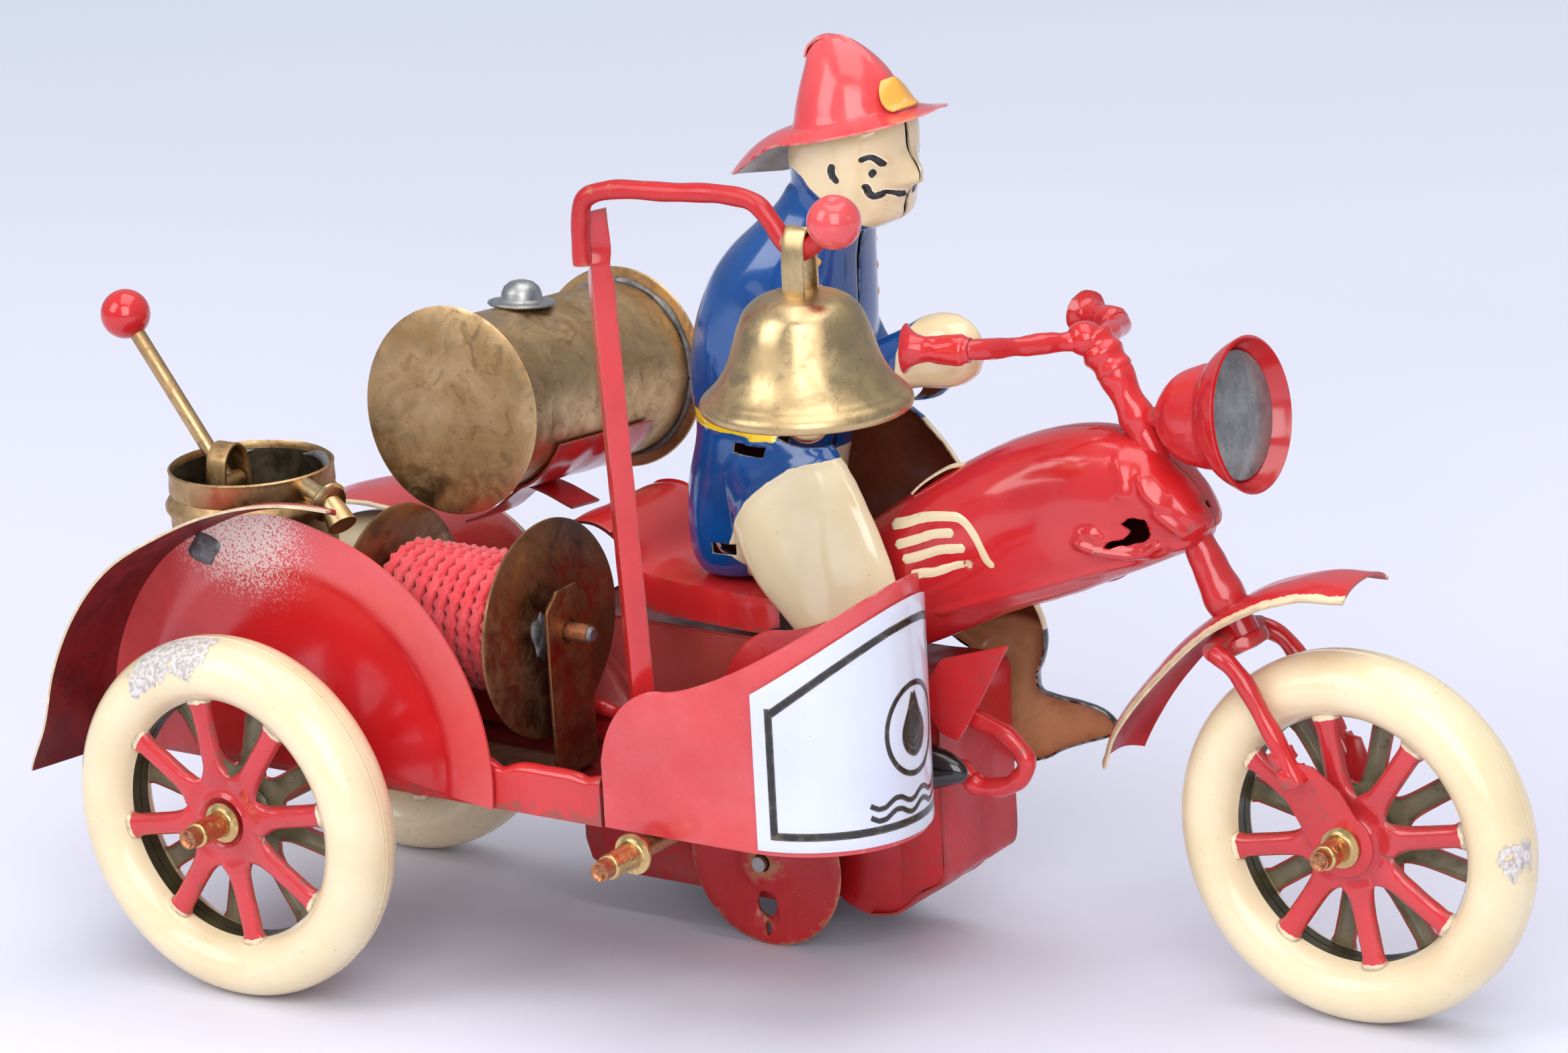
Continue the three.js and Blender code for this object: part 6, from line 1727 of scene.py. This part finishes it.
# A sheet of darker brass just inside the can's wall and floor: painted shade in the can's hollow.
lining = Form().turned([(0.6, 40.4), (CAN_R - 0.75, 40.4), (CAN_R - 0.7, 82), (CAN_R - 0.55, 91),
                        (CAN_R - 0.62, 91), (CAN_R - 0.9, 82), (CAN_R - 1.0, 40.8), (0.6, 40.8)],
                       (CAN_X, CAN_Y, 0), (0, 0, 1), 90)
CAN_SHADE_BRASS = metal("can_inside_painted_shade", (104, 92, 74), (70, 60, 48), (42, 36, 30), 0.8, 0.5, 9)
on(build("can_shade_sheet", lining, [CAN_SHADE_BRASS], sharp=50), "root", "aged_brass")
bead_ring = Form()
for start, end, thick_bit in ((0.4, 1.5, 0.9), (2.2, 2.9, 0.7)):
    bead_ring.tube([(CAN_X + (CAN_R - 1) * math.cos(a), CAN_Y + (CAN_R - 1) * math.sin(a),
                     90.7 + 0.4 * math.sin(a * 7))
                    for a in np.linspace(start, end, 30)], lambda t, k=thick_bit: k * math.sin(math.pi * t)
                   + 0.15, 10)
on(build("can_solder", bead_ring, [SOLDER], sharp=60), "root", "aged_brass")
spout_form = Form().tube([(CAN_X + CAN_R - 0.8, -48, 90.4), (20, -49.1, 89.6), (23.4, -49.9, 88.8)], 1.9,
                         24)
spout_form.tube([(23.2, -49.9, 88.9), (23.7, -50.0, 88.75), (24.2, -50.1, 88.6), (24.7, -50.25, 88.45)],
                lambda t: 3.5 + 0.6 * math.sin(math.pi * t), 30)
spout_form.tube([(24.4, -50.2, 88.6), (26.4, -50.9, 86.9), (28.2, -51.6, 85)], lambda t: 2.1 + 0.8 * t, 28)
on(build("can_spout", spout_form, [BELL_BRASS], sharp=45), "root", "aged_brass")

strap = Form()
rows = []
arch = [(-3.8, 41), (-3.8, 60), (-3.8, 84), (-3.7, 90), (-3.0, 93.4), (-1.4, 95.2), (0, 95.6), (1.4, 95.2),
        (3.0, 93.4), (3.7, 90), (3.8, 84), (3.8, 60), (3.8, 41)]
for y_off, z in spline(arch, 110):
    rows.append([(-4 + 2.3 * s, CAN_Y + y_off, z) for s in np.linspace(-1, 1, 5)])
strap.grid(rows)
hoop = build("can_strap_strip", strap, [AGED_BRASS], thick=0.6, centred=True, inner=(-4, CAN_Y, 80),
             bevel=0.1)
on(hoop, "root", "aged_brass", "can_strap")

lever_rod = Form().tube([(-4, CAN_Y, 88), (-14, CAN_Y, 101.8), (-24.6, CAN_Y, 116.4)], 1.5, 22)
lever_rod.tube([(-4, CAN_Y - 2.9, 88), (-4, CAN_Y, 88), (-4, CAN_Y + 2.9, 88)], 1.8, 22)
on(build("lever_rod", lever_rod, [AGED_BRASS], sharp=60), "lever", "aged_brass", "pump_lever")
knob = Form().ball((-26.4, CAN_Y, 119), 4.8, 48)
on(build("lever_ball", knob, [RED], sharp=60), "lever", "red_paint")


# ---------------------------------------------------------------- clockwork: the CAD's own bodies
for node, material in {"motor_plate_right": STEEL, "motor_plate_left": STEEL, "drive_axle": STEEL,
                       "great_wheel": BELL_BRASS, "winding_arbor": STEEL, "mainspring": STEEL,
                       "winding_key": STEEL}.items():
    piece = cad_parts[node]
    piece.data.materials.clear()
    piece.data.materials.append(material)


# ---------------------------------------------------------------- floor, light and camera
def stage_floor():
    s = Shade("pale_paper", 0.62)
    far = s.node("ShaderNodeVectorMath", {0: s.at, 1: (0.001, 0.001, 0.0)}, operation="MULTIPLY")
    reach = s.node("ShaderNodeVectorMath", {0: far}, 1, operation="LENGTH")
    # The paper is painted darker near the model and paler and bluer farther off: painted shade close by and
    # painted light far away.
    shaded_near_tone = s.mix(s.step(s.noise(420, 3), 0.35, 0.65), colour(220, 221, 236), colour(226, 226, 240))
    paper = s.mix(s.step(reach, 0.2, 1.4), shaded_near_tone, colour(232, 240, 254))
    s.set("Base Color", paper)
    s.bump(s.noise(60, 3), 0.04, 1.0)
    form = Form().turned([(0, -0.02), (900, -0.02), (8000, -0.02)], (0, 0, 0), (0, 0, 1), 96, closed=False)
    build("paper_floor", form, [s.material])


stage_floor()

azimuth, elevation, roll = math.radians(34.32), math.radians(16.73), math.radians(-3.08)
AIM, EYE_DISTANCE, LENS_LENGTH = (93.2, 0, 78.37), 1091.96, 132.55
scene = bpy.context.scene
eye = bpy.data.objects.new("photo_camera", bpy.data.cameras.new("photo_camera"))
scene.collection.objects.link(eye)
scene.camera = eye
eye.data.lens = LENS_LENGTH
eye.data.sensor_width = 36
back = Vector((math.sin(azimuth) * math.cos(elevation), -math.cos(azimuth) * math.cos(elevation),
               math.sin(elevation)))
right = Vector((math.cos(azimuth), math.sin(azimuth), 0))
up = back.cross(right)
screen_right = right * math.cos(roll) + up * math.sin(roll)
screen_up = up * math.cos(roll) - right * math.sin(roll)
target = Vector(place(AIM))
turn = Matrix((screen_right, screen_up, back)).transposed().to_4x4()
turn.translation = target + back * (EYE_DISTANCE * MM)
eye.matrix_world = turn


def softbox(name, direction, distance, size, power, tint=(1, 1, 1)):
    """A square area light that faces the model."""
    data = bpy.data.lights.new(name, "AREA")
    data.shape = "RECTANGLE"
    data.size, data.size_y = size
    data.energy = power
    data.color = tint
    lamp = bpy.data.objects.new(name, data)
    scene.collection.objects.link(lamp)
    lamp.location = target + Vector(direction).normalized() * distance
    lamp.rotation_euler = (target - lamp.location).to_track_quat("-Z", "Y").to_euler()


softbox("overhead_softbox", (0.1, 0.05, 1), 1.5, (1.6, 1.2), 14)
softbox("right_softbox", (0.75, -1.0, 0.7), 1.5, (0.9, 1.1), 13)
softbox("left_softbox", (-0.6, -1.0, 0.8), 1.6, (0.8, 1.0), 9)

world = bpy.data.worlds.new("pale_studio")
scene.world = world
world.use_nodes = True
nodes, links = world.node_tree.nodes, world.node_tree.links
nodes.clear()
shade = nodes.new("ShaderNodeBackground")
output = nodes.new("ShaderNodeOutputWorld")
texture = nodes.new("ShaderNodeTexCoord")
split = nodes.new("ShaderNodeSeparateXYZ")
ramp = nodes.new("ShaderNodeValToRGB")
links.new(texture.outputs["Generated"], split.inputs[0])
links.new(split.outputs["Z"], ramp.inputs[0])
links.new(ramp.outputs[0], shade.inputs["Color"])
links.new(shade.outputs[0], output.inputs["Surface"])
ramp.color_ramp.elements[0].position = 0.0
ramp.color_ramp.elements[0].color = colour(205, 214, 236)
ramp.color_ramp.elements[1].position = 0.6
ramp.color_ramp.elements[1].color = colour(246, 249, 255)
shade.inputs["Strength"].default_value = 0.5

scene.view_settings.view_transform = "Standard"
